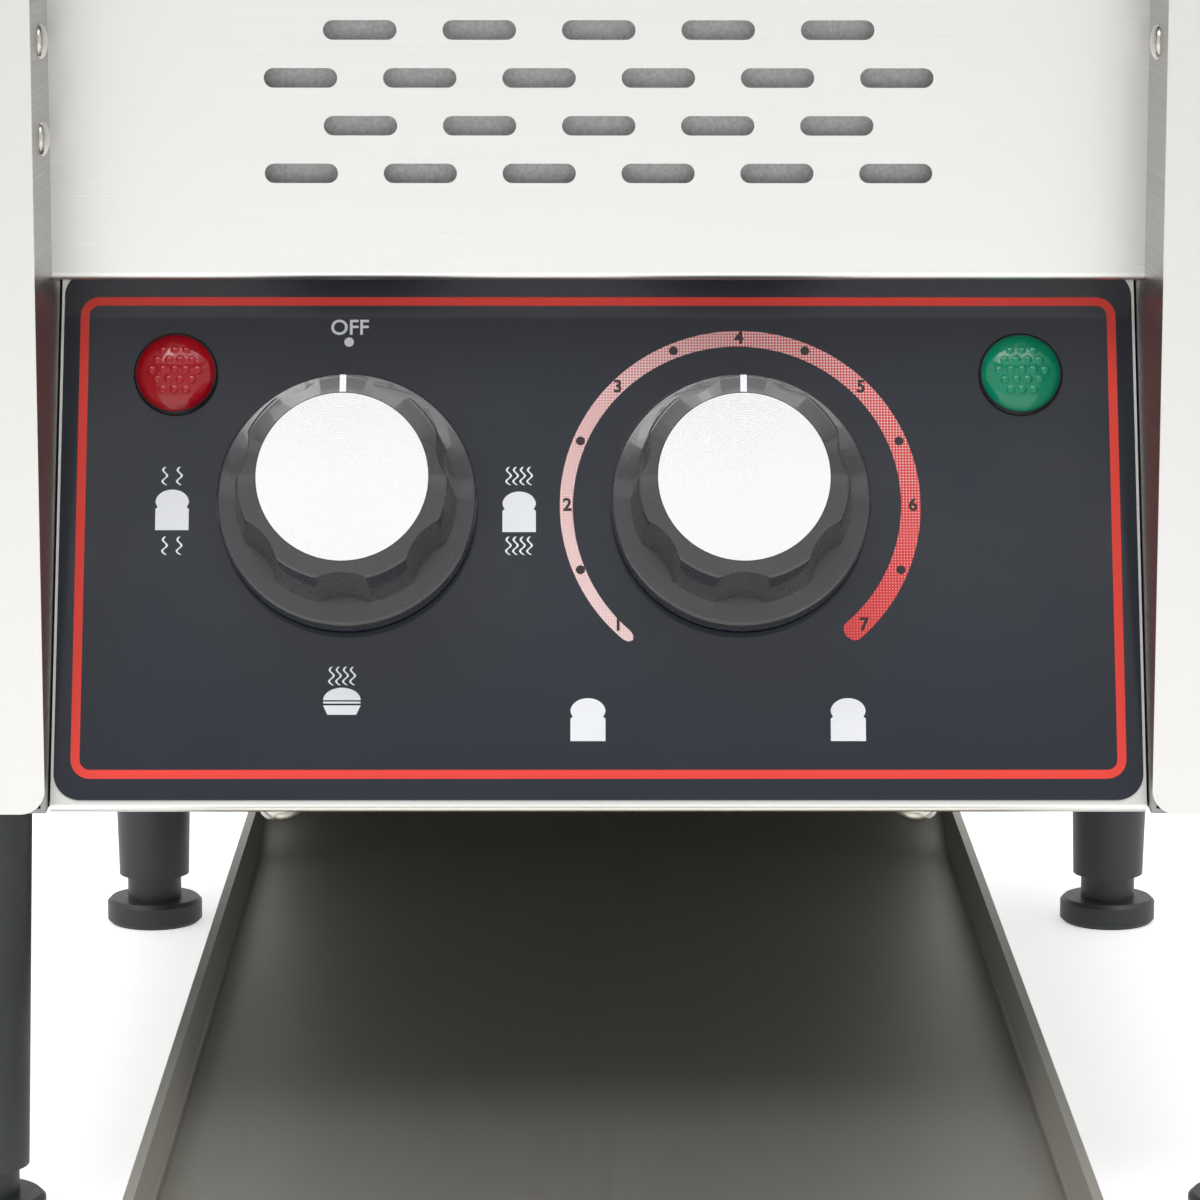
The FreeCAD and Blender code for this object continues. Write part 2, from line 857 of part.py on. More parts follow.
backing_path = [
    (vent_back, backing_high),
    (backing_plane, backing_high),
    (backing_plane, backing_low),
    (vent_back, backing_low),
]
backing_span = (middle - size.backing_width / 2, middle + size.backing_width / 2)
node("vent_backing", formed("vent_backing", folded(backing_path, backing_span, SIDEWAYS)))

# Shield that keeps heat and crumbs off the controls
shield_plane = vent_front + size.shield_setback
shield_path = [
    (shield_plane, pan_top),
    (shield_plane, size.opening_bottom - size.gauge * 1.5),
    (vent_back + size.vent_bend, size.opening_bottom - size.gauge * 1.5),
]
node("control_shield", formed("control_shield", folded(shield_path, (left_wall, right_wall), SIDEWAYS)))

# Control panel: a sloped sheet with a fold at its foot and its head
tilt = size.panel_tilt
foot_up = size.gauge / 2 * (1 + sine(tilt)) / cosine(tilt)
head_up = size.panel_length - size.gauge / 2 * (1 - sine(tilt)) / cosine(tilt)


def panel_core(up):
    """A point on the panel's centre line, as depth and height."""
    spot = panel_spot(size.gauge * 0, up, -size.gauge / 2)
    return spot[1], spot[2]


foot_core = panel_core(foot_up)
head_core = panel_core(head_up)
panel_path = [
    (foot_core[0] + size.panel_foot_fold, foot_core[1]),
    foot_core,
    head_core,
    (head_core[0] + size.panel_head_fold, head_core[1]),
]
panel_sheet = formed(
    "panel_sheet",
    folded(panel_path, (middle - panel_half, middle + panel_half), SIDEWAYS, bend=size.panel_bend),
)
panel_depth = size.gauge + size.overrun * 2
panel_places = {
    "mode": (size.mode_across, size.knob_up, size.neck_radius),
    "speed": (size.speed_across, size.knob_up, size.neck_radius),
    "red": (size.red_lamp_across, size.lamp_up, size.lens_neck_radius),
    "green": (size.green_lamp_across, size.lamp_up, size.lens_neck_radius),
}


def panel_rod(name, across, up, out, radius, length):
    """A cylinder square to the panel, from out along its outward normal."""
    piece = doc.addObject("Part::Cylinder", name)
    bind(piece, "Radius", radius)
    bind(piece, "Height", length)
    return on_panel(piece, across, up, out)


panel_holes = fuse(
    "panel_holes",
    [
        panel_rod(
            f"{name}_panel_hole",
            across,
            up,
            -size.gauge - size.overrun,
            radius + size.hole_gap,
            panel_depth,
        )
        for name, (across, up, radius) in panel_places.items()
    ],
)
node("control_panel", cut("control_panel", panel_sheet, fuse("panel_cutters", [panel_holes, lip_holes])))

# Label: a thin plate with round corners that covers the panel's face
label_sheet = doc.addObject("Part::Box", "label_sheet")
bind(label_sheet, "Length", (panel_half - size.label_side_margin) * 2)
bind(label_sheet, "Width", size.panel_length - size.label_foot_margin - size.label_head_margin)
bind(label_sheet, "Height", size.label_thickness)
on_panel(label_sheet, size.label_side_margin - panel_half, size.label_foot_margin, size.gauge * 0)
doc.recompute()
label_plate = doc.addObject("Part::Fillet", "label_plate")
label_plate.Base = label_sheet
UPRIGHT_BOX_EDGES = (1, 3, 5, 7)
corner_radius = float(size.label_corner)
label_plate.Edges = [(edge, corner_radius, corner_radius) for edge in UPRIGHT_BOX_EDGES]
node("control_label", cut("control_label", label_plate, panel_holes))


# Knobs: a fluted grip on a round skirt, turned in one piece, with a metal disc let into the top
def knob(name, across):
    lift = size.knob_lift
    rim = lift + size.skirt_height
    top = lift + size.knob_height
    shoulder = [
        (
            size.grip_top_radius - size.grip_round + size.grip_round * cosine(as_size(turn)),
            top - size.grip_round + size.grip_round * sine(as_size(turn)),
        )
        for turn in SHOULDER_TURNS
    ]
    section = [
        (size.spindle_radius, rim - size.skirt_wall),
        (size.skirt_radius - size.skirt_wall, rim - size.skirt_wall),
        (size.skirt_radius - size.skirt_wall, lift),
        (size.skirt_radius, lift),
        (size.skirt_radius, rim - size.skirt_round),
        (size.skirt_radius - size.skirt_round, rim),
        (size.grip_foot_radius, rim + size.skirt_round),
        *shoulder,
        (size.disc_radius, top),
        (size.disc_radius, top - size.disc_thickness),
        (size.spindle_radius, top - size.disc_thickness),
    ]
    body = turned(name, section)
    flute_sketch = body.newObject("Sketcher::SketchObject", name + "_flute_round")
    flute_sketch.AttachmentSupport = (origin_part(body, "XY_Plane"), [""])
    flute_sketch.MapMode = "FlatFace"
    flute_sketch.setExpression("AttachmentOffset.Base.z", (rim + size.skirt_round).text)
    reach = size.grip_foot_radius + size.flute_radius - size.flute_depth
    round_edge = Part.Circle(Vector(0, -float(reach), 0), Vector(0, 0, 1), float(size.flute_radius))
    flute_sketch.addGeometry(round_edge)
    flute_sketch.addConstraint(Sketcher.Constraint("PointOnObject", 0, 3, -2))
    tie = flute_sketch.addConstraint(Sketcher.Constraint("Radius", 0, float(size.flute_radius)))
    flute_sketch.setExpression(f"Constraints[{tie}]", size.flute_radius.text)
    tie = flute_sketch.addConstraint(Sketcher.Constraint("DistanceY", 0, 3, -1, 1, float(reach)))
    flute_sketch.setExpression(f"Constraints[{tie}]", reach.text)
    flute = body.newObject("PartDesign::Pocket", name + "_flute")
    flute.Profile = (flute_sketch, [""])
    flute.Type = "ThroughAll"
    flute.Reversed = True
    flute_sketch.Visibility = False
    doc.recompute()
    ring = body.newObject("PartDesign::PolarPattern", name + "_flutes")
    ring.Originals = [flute]
    ring.Axis = (origin_part(body, "Z_Axis"), [""])
    ring.Angle = 360
    ring.Occurrences = FLUTES
    body.Tip = ring
    on_panel(body, across, size.knob_up, size.label_thickness)
    node(name, body)
    disc_out = size.label_thickness + top - size.disc_thickness
    disc = panel_rod(name + "_disc", across, size.knob_up, disc_out, size.disc_radius, size.disc_thickness)
    node(name + "_disc", disc)


knob("mode_knob", size.mode_across)
knob("speed_knob", size.speed_across)
for name, across in (("mode", size.mode_across), ("speed", size.speed_across)):
    start = -size.gauge - size.spindle_tail
    length = size.gauge + size.spindle_tail + size.label_thickness + size.spindle_reach
    node(f"{name}_spindle", panel_rod(f"{name}_spindle", across, size.knob_up, start, size.spindle_radius, length))


# Rotary switch and speed control: each has a threaded neck through the panel and a body behind it
def panel_box(name, across, up, out, lengths):
    """A block square to the panel, centred across and up, whose back lies at out."""
    piece = doc.addObject("Part::Box", name)
    for field, length in zip(("Length", "Width", "Height"), lengths):
        bind(piece, field, length)
    return on_panel(piece, across - lengths[0] / 2, up - lengths[1] / 2, out)


def control(name, across, case):
    """The neck and its case, with a bore in which the spindle turns."""
    neck = panel_rod(name + "_neck", across, size.knob_up, -size.gauge, size.neck_radius, size.neck_length)
    bore = panel_rod(
        name + "_bore",
        across,
        size.knob_up,
        -size.gauge - size.spindle_tail - size.overrun,
        size.spindle_radius + size.running_gap,
        size.spindle_tail + size.neck_length + size.overrun * 2,
    )
    return node(name, cut(name, fuse(name + "_case", [neck] + case), bore))


switch_case = panel_box(
    "switch_block",
    size.mode_across,
    size.knob_up,
    -size.gauge - size.switch_depth,
    (size.switch_width, size.switch_width, size.switch_depth),
)
control("mode_switch", size.mode_across, [switch_case])
speed_can = panel_rod(
    "speed_can",
    size.speed_across,
    size.knob_up,
    -size.gauge - size.control_depth,
    size.control_radius,
    size.control_depth,
)
speed_board = panel_box(
    "speed_board",
    size.speed_across,
    size.knob_up,
    -size.gauge - size.control_depth - size.board_thickness,
    (size.board_width, size.board_height, size.board_thickness),
)
control("speed_control", size.speed_across, [speed_can, speed_board])


def hex_nut(name, across_radius, bore_radius, height, spot, turn):
    """A six-sided nut standing at spot."""
    prism = doc.addObject("Part::Prism", name + "_prism")
    prism.Polygon = 6
    bind(prism, "Circumradius", across_radius)
    bind(prism, "Height", height)
    bore = doc.addObject("Part::Cylinder", name + "_bore")
    bind(bore, "Radius", bore_radius)
    bind(bore, "Height", height)
    for piece in (prism, bore):
        place(piece, spot, *turn)
    return cut(name, prism, bore)


SQUARE_TO_PANEL = (Vector(1, 0, 0), Size("90", 90) - size.panel_tilt)
node(
    "control_nuts",
    group(
        "control_nuts",
        [
            hex_nut(
                f"{name}_nut",
                size.neck_nut_radius,
                size.neck_radius + size.running_gap,
                size.neck_nut_height,
                panel_spot(across, size.knob_up, size.label_thickness),
                SQUARE_TO_PANEL,
            )
            for name, across in (("mode", size.mode_across), ("speed", size.speed_across))
        ],
    ),
)


# Indicator lamps: a domed lens on the label, its holder behind the panel and a nut
def lamp_lens(name, across):
    crown = size.lens_rim + size.lens_crown
    body = turned(
        name + "_base",
        [
            (as_size(0), size.lens_rim),
            (as_size(0), -size.label_thickness - size.gauge),
            (size.lens_neck_radius, -size.label_thickness - size.gauge),
            (size.lens_neck_radius, as_size(0)),
            (size.lens_radius, as_size(0)),
            (size.lens_radius, size.lens_rim),
        ],
    )
    on_panel(body, across, size.lamp_up, size.label_thickness)
    dome = doc.addObject("Part::Ellipsoid", name + "_dome")
    bind(dome, "Radius1", size.lens_crown)
    bind(dome, "Radius2", size.lens_radius)
    bind(dome, "Radius3", size.lens_radius)
    dome.Angle1 = 0
    dome.Angle2 = 90
    on_panel(dome, across, size.lamp_up, size.label_thickness + crown - size.lens_crown)
    return node(name, fuse(name + "_joined", [body, dome]))


lamp_lens("red_lamp_lens", size.red_lamp_across)
lamp_lens("green_lamp_lens", size.green_lamp_across)
lamp_back = -size.gauge
lamp_parts = []
for name, across in (("red", size.red_lamp_across), ("green", size.green_lamp_across)):
    collar = panel_rod(
        f"{name}_lamp_collar",
        across,
        size.lamp_up,
        lamp_back - size.lamp_collar_height,
        size.lamp_collar_radius,
        size.lamp_collar_height,
    )
    stem = panel_rod(
        f"{name}_lamp_stem",
        across,
        size.lamp_up,
        lamp_back - size.lamp_tail,
        size.lens_neck_radius,
        size.lamp_tail,
    )
    lamp_parts.append(fuse(f"{name}_lamp_holder", [collar, stem]))
node("lamp_holders", group("lamp_holders", lamp_parts))


# Conveyor: two shafts in flanged bushes, toothed drums, wire belt and side rails
def shaft(name, spot, right_end):
    start = left_wall - size.gauge - size.shaft_overhang
    return rod(name, (start, spot, size.belt_height), size.shaft_radius, right_end - start, "X")


def toothed(name, start, width, root, tip, teeth, tooth, bore, centre):
    """A toothed wheel on the X axis: a round core and square teeth, bored for its shaft."""
    spot, height = centre
    core = Part.makeCylinder(root, width, Vector(start, spot, height), Vector(1, 0, 0))
    corner = Vector(start, spot - tooth / 2, height)
    blade = Part.makeBox(width, tooth, tip, corner)
    blades = []
    for step in range(teeth):
        copy = blade.copy()
        copy.rotate(Vector(start, spot, height), Vector(1, 0, 0), 360 * step / teeth)
        blades.append(copy)
    hole = Part.makeCylinder(bore, width, Vector(start, spot, height), Vector(1, 0, 0))
    return core.fuse(blades).removeSplitter().cut(hole)


def drums(name, spot):
    """A pair of toothed drums that carry the belt."""
    shapes = []
    for side in (-1, 1):
        start = middle + size.drum_spacing * side - size.drum_width / 2
        shapes.append(
            toothed(
                name,
                float(start),
                float(size.drum_width),
                float(size.drum_root_radius),
                float(size.drum_tip_radius),
                DRUM_TEETH,
                float(size.tooth_width),
                float(size.shaft_radius),
                (float(spot), float(size.belt_height)),
            )
        )
    return formed(name, Part.makeCompound(shapes))


chain_plane = half_width - size.gauge - size.chain_plane_inset
shaft_right = chain_plane + size.sprocket_width
node("drive_shaft", shaft("drive_shaft", drive_place, shaft_right))
node("idler_shaft", shaft("idler_shaft", idler_place, right_wall + size.gauge + size.shaft_overhang))
node("drive_drums", drums("drive_drums", drive_place))
node("idler_drums", drums("idler_drums", idler_place))


def bush(name, wall, way, spot):
    """A flanged bush: its barrel runs out through the wall and its flange stays in the tunnel."""
    out = 1 if way == "X" else -1
    barrel = rod(
        name + "_barrel",
        (wall, spot, size.belt_height),
        size.bush_radius - size.running_gap,
        size.gauge + size.bush_length,
        way,
    )
    flange_start = wall - size.bush_flange * out
    flange = rod(
        name + "_flange", (flange_start, spot, size.belt_height), size.bush_flange_radius, size.bush_flange, way
    )
    bore = rod(
        name + "_bore",
        (flange_start - size.overrun * out, spot, size.belt_height),
        size.shaft_radius + size.running_gap,
        size.bush_flange + size.gauge + size.bush_length + size.overrun * 2,
        way,
    )
    return cut(name, fuse(name + "_blank", [barrel, flange]), bore)


node(
    "shaft_bushes",
    group(
        "shaft_bushes",
        [
            bush(f"{label}_{end}_bush", wall, way, spot)
            for label, wall, way in (("left", left_wall, "-X"), ("right", right_wall, "X"))
            for end, spot in (("idler", idler_place), ("drive", drive_place))
        ],
    ),
)


def loop_section(radius, front_spot, rear_spot, height):
    """A closed racetrack round two points at one height, as a wire across the depth."""
    low_front = Vector(0, front_spot, height - radius)
    high_front = Vector(0, front_spot, height + radius)
    low_rear = Vector(0, rear_spot, height - radius)
    high_rear = Vector(0, rear_spot, height + radius)
    edges = [
        Part.LineSegment(high_front, high_rear),
        Part.Arc(high_rear, Vector(0, rear_spot + radius, height), low_rear),
        Part.LineSegment(low_rear, low_front),
        Part.Arc(low_front, Vector(0, front_spot - radius, height), high_front),
    ]
    return Part.Wire([edge.toShape() for edge in edges])


def loop_point(distance, radius, front_spot, rear_spot, height):
    """The point at a distance along the racetrack, starting at the front of the upper run."""
    run = rear_spot - front_spot
    bend = math.pi * radius
    distance = distance % (2 * (run + bend))
    if distance < run:
        return Vector(0, front_spot + distance, height + radius)
    distance -= run
    if distance < bend:
        turn = distance / radius
        return Vector(0, rear_spot + radius * math.sin(turn), height + radius * math.cos(turn))
    distance -= bend
    if distance < run:
        return Vector(0, rear_spot - distance, height - radius)
    turn = (distance - run) / radius
    return Vector(0, front_spot - radius * math.sin(turn), height - radius * math.cos(turn))


def belt():
    """Cross rods round the loop, resting on thin strands."""
    track = (float(size.belt_radius), float(idler_place), float(drive_place), float(size.belt_height))
    radius, first, last, height = track
    length = 2 * (last - first + math.pi * radius)
    count = round(length / float(size.belt_rod_pitch))
    half = float(belt_half)
    rod_radius = float(size.belt_rod_radius)
    shapes = []
    for step in range(count):
        start = loop_point(length * step / count, *track) + Vector(float(middle) - half, 0, 0)
        shapes.append(Part.makeCylinder(rod_radius, 2 * half, start, Vector(1, 0, 0)))
    outer = radius - rod_radius
    inner = outer - float(size.strand_thickness)
    ring = Part.Face(loop_section(outer, first, last, height))
    ring = ring.cut(Part.Face(loop_section(inner, first, last, height)))
    width = float(size.strand_width)
    for step in range(STRANDS):
        side = float(size.strand_spacing) * (step - (STRANDS - 1) / 2)
        strand = ring.extrude(Vector(width, 0, 0))
        strand.translate(Vector(float(middle) + side - width / 2, 0, 0))
        shapes.append(strand)
    return Part.makeCompound(shapes)


node("conveyor_belt", formed("conveyor_belt", belt()))
rail_level = size.belt_height + size.belt_radius - size.belt_rod_radius - size.gauge / 2
rail_span = (idler_place + size.rail_inset, drive_place - size.rail_inset)
rail_shapes = []
for side, wall in ((-1, left_wall), (1, right_wall)):
    rail_path = [
        (wall - size.gauge / 2 * side, rail_level - size.rail_drop),
        (wall - size.gauge / 2 * side, rail_level),
        (wall - size.rail_width * side, rail_level),
    ]
    rail_shapes.append(folded(rail_path, rail_span, FRONTAL))
node("belt_rails", formed("belt_rails", Part.makeCompound(rail_shapes)))


# Heater tubes across the tunnel, ceramic ends on the bay sides and sheet reflectors
def heater(name, spot, height):
    start = left_wall - size.gauge - size.tube_overhang
    length = tunnel + (size.gauge + size.tube_overhang) * 2
    return rod(name, (start, spot, height), size.tube_radius, length, "X")


def ceramic(name, wall, way, spot, height):
    out = 1 if way == "X" else -1
    face = wall + size.gauge * out
    blank = rod(name + "_blank", (face, spot, height), size.cap_radius, size.cap_length, way)
    bore = rod(name + "_bore", (face, spot, height), size.tube_radius + size.cap_gap, size.tube_overhang, way)
    return cut(name, blank, bore)


node(
    "upper_heater_tubes",
    group("upper_heater_tubes", [heater(f"upper_tube_{i}", *spot) for i, spot in enumerate(upper_places)]),
)
node(
    "lower_heater_tubes",
    group("lower_heater_tubes", [heater(f"lower_tube_{i}", *spot) for i, spot in enumerate(lower_places)]),
)
node(
    "heater_ends",
    group(
        "heater_ends",
        [
            ceramic(f"{label}_heater_end_{index}", wall, way, spot, height)
            for label, wall, way in (("left", left_wall, "-X"), ("right", right_wall, "X"))
            for index, (spot, height) in enumerate(upper_places + lower_places)
        ],
    ),
)
reflector_level = lid - size.reflector_drop
reflector_front = idler_place + size.reflector_inset
reflector_rear = drive_place - size.reflector_inset
upper_reflector_path = [
    (reflector_front, reflector_level - size.reflector_fold),
    (reflector_front, reflector_level),
    (reflector_rear, reflector_level),
    (reflector_rear, reflector_level - size.reflector_fold),
]
node(
    "upper_reflector",
    formed("upper_reflector", folded(upper_reflector_path, (left_wall, right_wall), SIDEWAYS)),
)
lower_level = size.belt_height - size.tray_reflector_drop
lower_reflector_path = [
    (reflector_front, lower_level + size.reflector_fold),
    (reflector_front, lower_level),
    (reflector_rear, lower_level),
    (reflector_rear, lower_level + size.reflector_fold),
]
node(
    "lower_reflector",
    formed("lower_reflector", folded(lower_reflector_path, (left_wall, right_wall), SIDEWAYS)),
)

# Drive in the right bay: gear motor with its mounting plate, two sprockets and the chain round them
motor_height = size.belt_height - size.motor_drop
bay_face = right_wall + size.gauge
motor_face = bay_face + size.plate_gauge
motor_blank = fuse(
    "motor_blank",
    [
        box(
            "motor_plate",
            (bay_face, drive_place - size.plate_width / 2, motor_height - size.plate_width / 2),
            (size.plate_gauge, size.plate_width, size.plate_width),
        ),
        rod("motor_can", (motor_face, drive_place, motor_height), size.motor_radius, size.motor_depth, "X"),
        rod(
            "motor_boss",
            (motor_face + size.motor_depth, drive_place, motor_height),
            size.motor_boss_radius,
            size.motor_boss,
            "X",
        ),
        box(
            "motor_plug",
            (
                motor_face,
                drive_place - size.motor_plug_width / 2,
                motor_height - size.motor_radius - size.motor_plug_height / 2,
            ),
            (size.motor_depth / 2, size.motor_plug_width, size.motor_plug_height),
        ),
    ],
)
motor_shaft_end = chain_plane + size.sprocket_width
motor_shaft_start = motor_shaft_end - size.motor_shaft_length
motor_bore = rod(
    "motor_bore",
    (motor_shaft_start - size.gauge, drive_place, motor_height),
    size.motor_shaft_radius + size.running_gap,
    size.motor_shaft_length,
    "X",
)
node("gear_motor", cut("gear_motor", motor_blank, motor_bore))
node(
    "motor_shaft",
    rod(
        "motor_shaft",
        (motor_shaft_start, drive_place, motor_height),
        size.motor_shaft_radius,
        size.motor_shaft_length,
        "X",
    ),
)
for name, pitch, teeth, bore, height in (
    ("motor_sprocket", size.small_sprocket_radius, SMALL_TEETH, size.motor_shaft_radius, motor_height),
    ("driven_sprocket", size.large_sprocket_radius, LARGE_TEETH, size.shaft_radius, size.belt_height),
):
    wheel = toothed(
        name,
        float(chain_plane),
        float(size.sprocket_width),
        float(pitch - size.sprocket_tooth),
        float(pitch + size.sprocket_tooth),
        teeth,
        float(size.sprocket_tooth),
        float(bore),
        (float(drive_place), float(height)),
    )
    node(name, formed(name, wheel))


def chain_section(clearance):
    """A closed belt line round the two sprockets, as tangents and arcs."""
    centre_low = Vector(0, float(drive_place), float(motor_height))
    centre_high = Vector(0, float(drive_place), float(size.belt_height))
    reach = float(size.sprocket_tooth + size.chain_gap) + clearance
    small = float(size.small_sprocket_radius) + reach
    large = float(size.large_sprocket_radius) + reach
    lean = math.asin((large - small) / float(size.motor_drop))
    touch = []
    for centre, radius in ((centre_low, small), (centre_high, large)):
        for side in (-1, 1):
            touch.append(centre + Vector(0, side * math.cos(lean) * radius, -math.sin(lean) * radius))
    low_left, low_right, high_left, high_right = touch
    edges = [
        Part.LineSegment(low_left, high_left),
        Part.Arc(high_left, centre_high + Vector(0, 0, large), high_right),
        Part.LineSegment(high_right, low_right),
        Part.Arc(low_right, centre_low - Vector(0, 0, small), low_left),
    ]
    return Part.Wire([edge.toShape() for edge in edges])


chain_ring = Part.Face(chain_section(float(size.chain_thickness))).cut(Part.Face(chain_section(0)))
chain = chain_ring.extrude(Vector(float(size.chain_width), 0, 0))
chain.translate(Vector(float(chain_plane + (size.sprocket_width - size.chain_width) / 2), 0, 0))
node("drive_chain", formed("drive_chain", chain))


# Feed rack: a sloped wire grid that swings up on its inner bar
def bent_wire(radius, points, bend):
    """A round wire along straight runs joined by arcs of one bend radius."""
    edges = []
    start = points[0]
    for index in range(1, len(points)):
        corner = points[index]
        along = (corner - points[index - 1]).normalize()
        if index == len(points) - 1:
            edges.append(Part.LineSegment(start, corner))
            continue
        onward = (points[index + 1] - corner).normalize()
        setback = bend * math.tan(along.getAngle(onward) / 2)
        stop = corner - along * setback
        after = corner + onward * setback
        inward = (onward - along).normalize()
        centre = corner + inward * math.hypot(bend, setback)
        crown = centre - inward * bend
        edges += [Part.LineSegment(start, stop), Part.Arc(stop, crown, after)]
        start = after
    path = Part.Wire([edge.toShape() for edge in edges])
    ring = Part.Wire(Part.Circle(points[0], points[1] - points[0], radius).toShape())
    return path.makePipeShell([ring], True, False)


def rack_wire():
    """One wire of the rack: it lies over the bars and turns up at its outer end."""
    lift = float(size.rack_bar_radius + size.rack_wire_radius)
    reach = float(size.rack_length)
    points = [
        Vector(0, float(size.rack_bar_radius), lift),
        Vector(0, -reach, lift),
        Vector(0, -reach, lift + float(size.rack_lip)),
    ]
    return bent_wire(float(size.rack_wire_radius), points, float(size.rack_bend))


def feed_rack():
    """Crossed wires welded where they touch, lying flat with the hinge on the X axis."""
    lip_height = size.rack_bar_radius + size.rack_lip
    bars = (
        (tunnel / 2 + size.gauge + size.rack_pin, as_size(0), as_size(0), size.rack_bar_radius),
        (rack_half, -size.rack_length / 2, as_size(0), size.rack_bar_radius),
        (rack_half, size.rack_bend * 2 - size.rack_length, as_size(0), size.rack_bar_radius),
        (rack_half, size.rack_wire_radius * 2 - size.rack_length, lip_height, size.rack_wire_radius),
    )
    shapes = []
    for reach, along, height, radius in bars:
        start = Vector(-float(reach), float(along), float(height))
        shapes.append(Part.makeCylinder(float(radius), 2 * float(reach), start, Vector(1, 0, 0)))
    for step in range(RACK_WIRES):
        wire = rack_wire()
        spread = float(rack_half - size.rack_wire_radius) * (2 * step / (RACK_WIRES - 1) - 1)
        wire.translate(Vector(spread, 0, 0))
        shapes.append(wire)
    return formed("feed_rack", Part.makeCompound(shapes))


rack = feed_rack()
place(rack, (middle, rack_place, rack_height), Vector(1, 0, 0), -size.rack_slope)
node("feed_rack", rack)

# Toast chute: drops behind the belt and leads onto the tray's scoop
chute_back = rear_face - size.gauge - size.chute_back_gap
chute_path = [
    (chute_back, size.chute_top),
    (chute_back, size.chute_bend_height),
    (chute_back - size.chute_lean, pan_top + size.gauge),
]
node(
    "toast_chute",
    formed(
        "toast_chute", folded(chute_path, (left_wall, right_wall), SIDEWAYS, bend=size.chute_bend)
    ),
)

# Receiving tray: a long shallow pan with hemmed sides, a stop at the front and a scoop at the rear
tray_half = size.tray_width / 2 - size.gauge
tray_front = -back
tray_rear = rear_face - size.tray_rear_gap
scoop_start = tray_rear - size.scoop_bend - size.gauge
tray_top = size.tray_floor + size.tray_wall
tray_level = size.tray_floor - size.gauge / 2
tray_left = size.tray_offset - tray_half
tray_right = size.tray_offset + tray_half
tray_path = [
    (tray_left + size.gauge / 2, tray_top),
    (tray_left + size.gauge / 2, tray_level),
    (tray_right - size.gauge / 2, tray_level),
    (tray_right - size.gauge / 2, tray_top),
]
tray_sheet = formed("tray_sheet", folded(tray_path, (tray_front, scoop_start), FRONTAL))
scoop_path = [
    (scoop_start - size.gauge, tray_level),
    (tray_rear - size.gauge / 2, tray_level),
    (tray_rear - size.gauge / 2, size.scoop_top),
]
scoop_span = (tray_left + size.gauge, tray_right - size.gauge)
scoop = formed("scoop", folded(scoop_path, scoop_span, SIDEWAYS, bend=size.scoop_bend))
tray_sides = []
for label, cheek, hem in (
    ("left", tray_left, tray_left - size.gauge),
    ("right", tray_right - size.gauge, tray_right),
):
    cheek_spot = (cheek, scoop_start, size.tray_floor - size.gauge)
    cheek_lengths = (size.gauge, tray_rear - scoop_start, size.tray_wall + size.gauge)
    tray_sides.append(box(f"{label}_cheek", cheek_spot, cheek_lengths))
    hem_lengths = (size.gauge, tray_rear - tray_front, size.tray_hem)
    tray_sides.append(box(f"{label}_hem", (hem, tray_front, tray_top - size.tray_hem), hem_lengths))
tray_stop = box(
    "tray_stop",
    (tray_left + size.gauge / 2, tray_front, tray_level),
    (tray_half * 2 - size.gauge, size.gauge, tray_top - tray_level),
)
node("receiving_tray", fuse("receiving_tray", [tray_sheet, scoop, tray_stop] + tray_sides))

# Tray shelf: hangs from the pan behind the tray and runs forward beneath it
shelf_plane = tray_rear + size.shelf_plate_gap
shelf_level = size.tray_floor - size.gauge - size.shelf_gap - size.shelf_gauge / 2
shelf_path = [
    (shelf_plane, size.leg_height),
    (shelf_plane, shelf_level),
    (tray_front + size.shelf_front, shelf_level),
]
shelf_span = (size.tray_offset - size.shelf_half_width, size.tray_offset + size.shelf_half_width)
shelf_blank = formed("shelf_blank", folded(shelf_path, shelf_span, SIDEWAYS, gauge=size.shelf_gauge))
shelf_ribs = []
for label, start in (("left", shelf_span[0]), ("right", shelf_span[1] - size.shelf_gauge)):
    corner_spot = (start, tray_front + size.shelf_front, shelf_level - size.shelf_fold)
    rib_length = shelf_plane - tray_front - size.shelf_front - size.bend * 2
    shelf_ribs.append(box(f"{label}_shelf_rib", corner_spot, (size.shelf_gauge, rib_length, size.shelf_fold)))
node("tray_shelf", fuse("tray_shelf", [shelf_blank] + shelf_ribs))


# Legs and screw feet
def leg(name, spot):
    """A tapered leg with a socket for its foot and a stud through the pan."""
    top = size.leg_height
    foot = size.leg_foot_height
    socket = foot + size.leg_socket_depth
    stud_top = top + size.stud_length
    body = turned(
        name,
        [
            (as_size(0), socket),
            (size.foot_neck_radius + size.running_gap, socket),
            (size.foot_neck_radius + size.running_gap, foot),
            (size.leg_foot_radius, foot),
            (size.leg_top_radius, top),
            (size.stud_radius, top),
            (size.stud_radius, stud_top),
            (as_size(0), stud_top),
        ],
    )
    place(body, (spot[0], spot[1], as_size(0)))
    return node(name, body)


def foot(name, spot):
    """A round foot whose neck screws up into the leg."""
    base = size.foot_height
    body = turned(
        name,
        [
            (as_size(0), as_size(0)),
            (size.foot_radius - size.foot_round, as_size(0)),
            (size.foot_radius, size.foot_round),
            (size.foot_radius, base - size.foot_round),
            (size.foot_radius - size.foot_round, base),
            (size.foot_neck_radius, base),
            (size.foot_neck_radius, size.foot_neck_height),
            (as_size(0), size.foot_neck_height),
        ],
    )
    place(body, (spot[0], spot[1], as_size(0)))
    return node(name, body)


for name, spot in leg_spots.items():
    leg(f"{name}_leg", spot)
for name, spot in leg_spots.items():
    foot(f"{name}_foot", spot)
node(
    "leg_nuts",
    group(
        "leg_nuts",
        [
            hex_nut(
                f"{name}_leg_nut",
                size.leg_nut_radius,
                size.stud_radius + size.running_gap,
                size.leg_nut_height,
                (spot[0], spot[1], pan_top),
                (Vector(0, 0, 1), 0),
            )
            for name, spot in leg_spots.items()
        ],
    ),
)

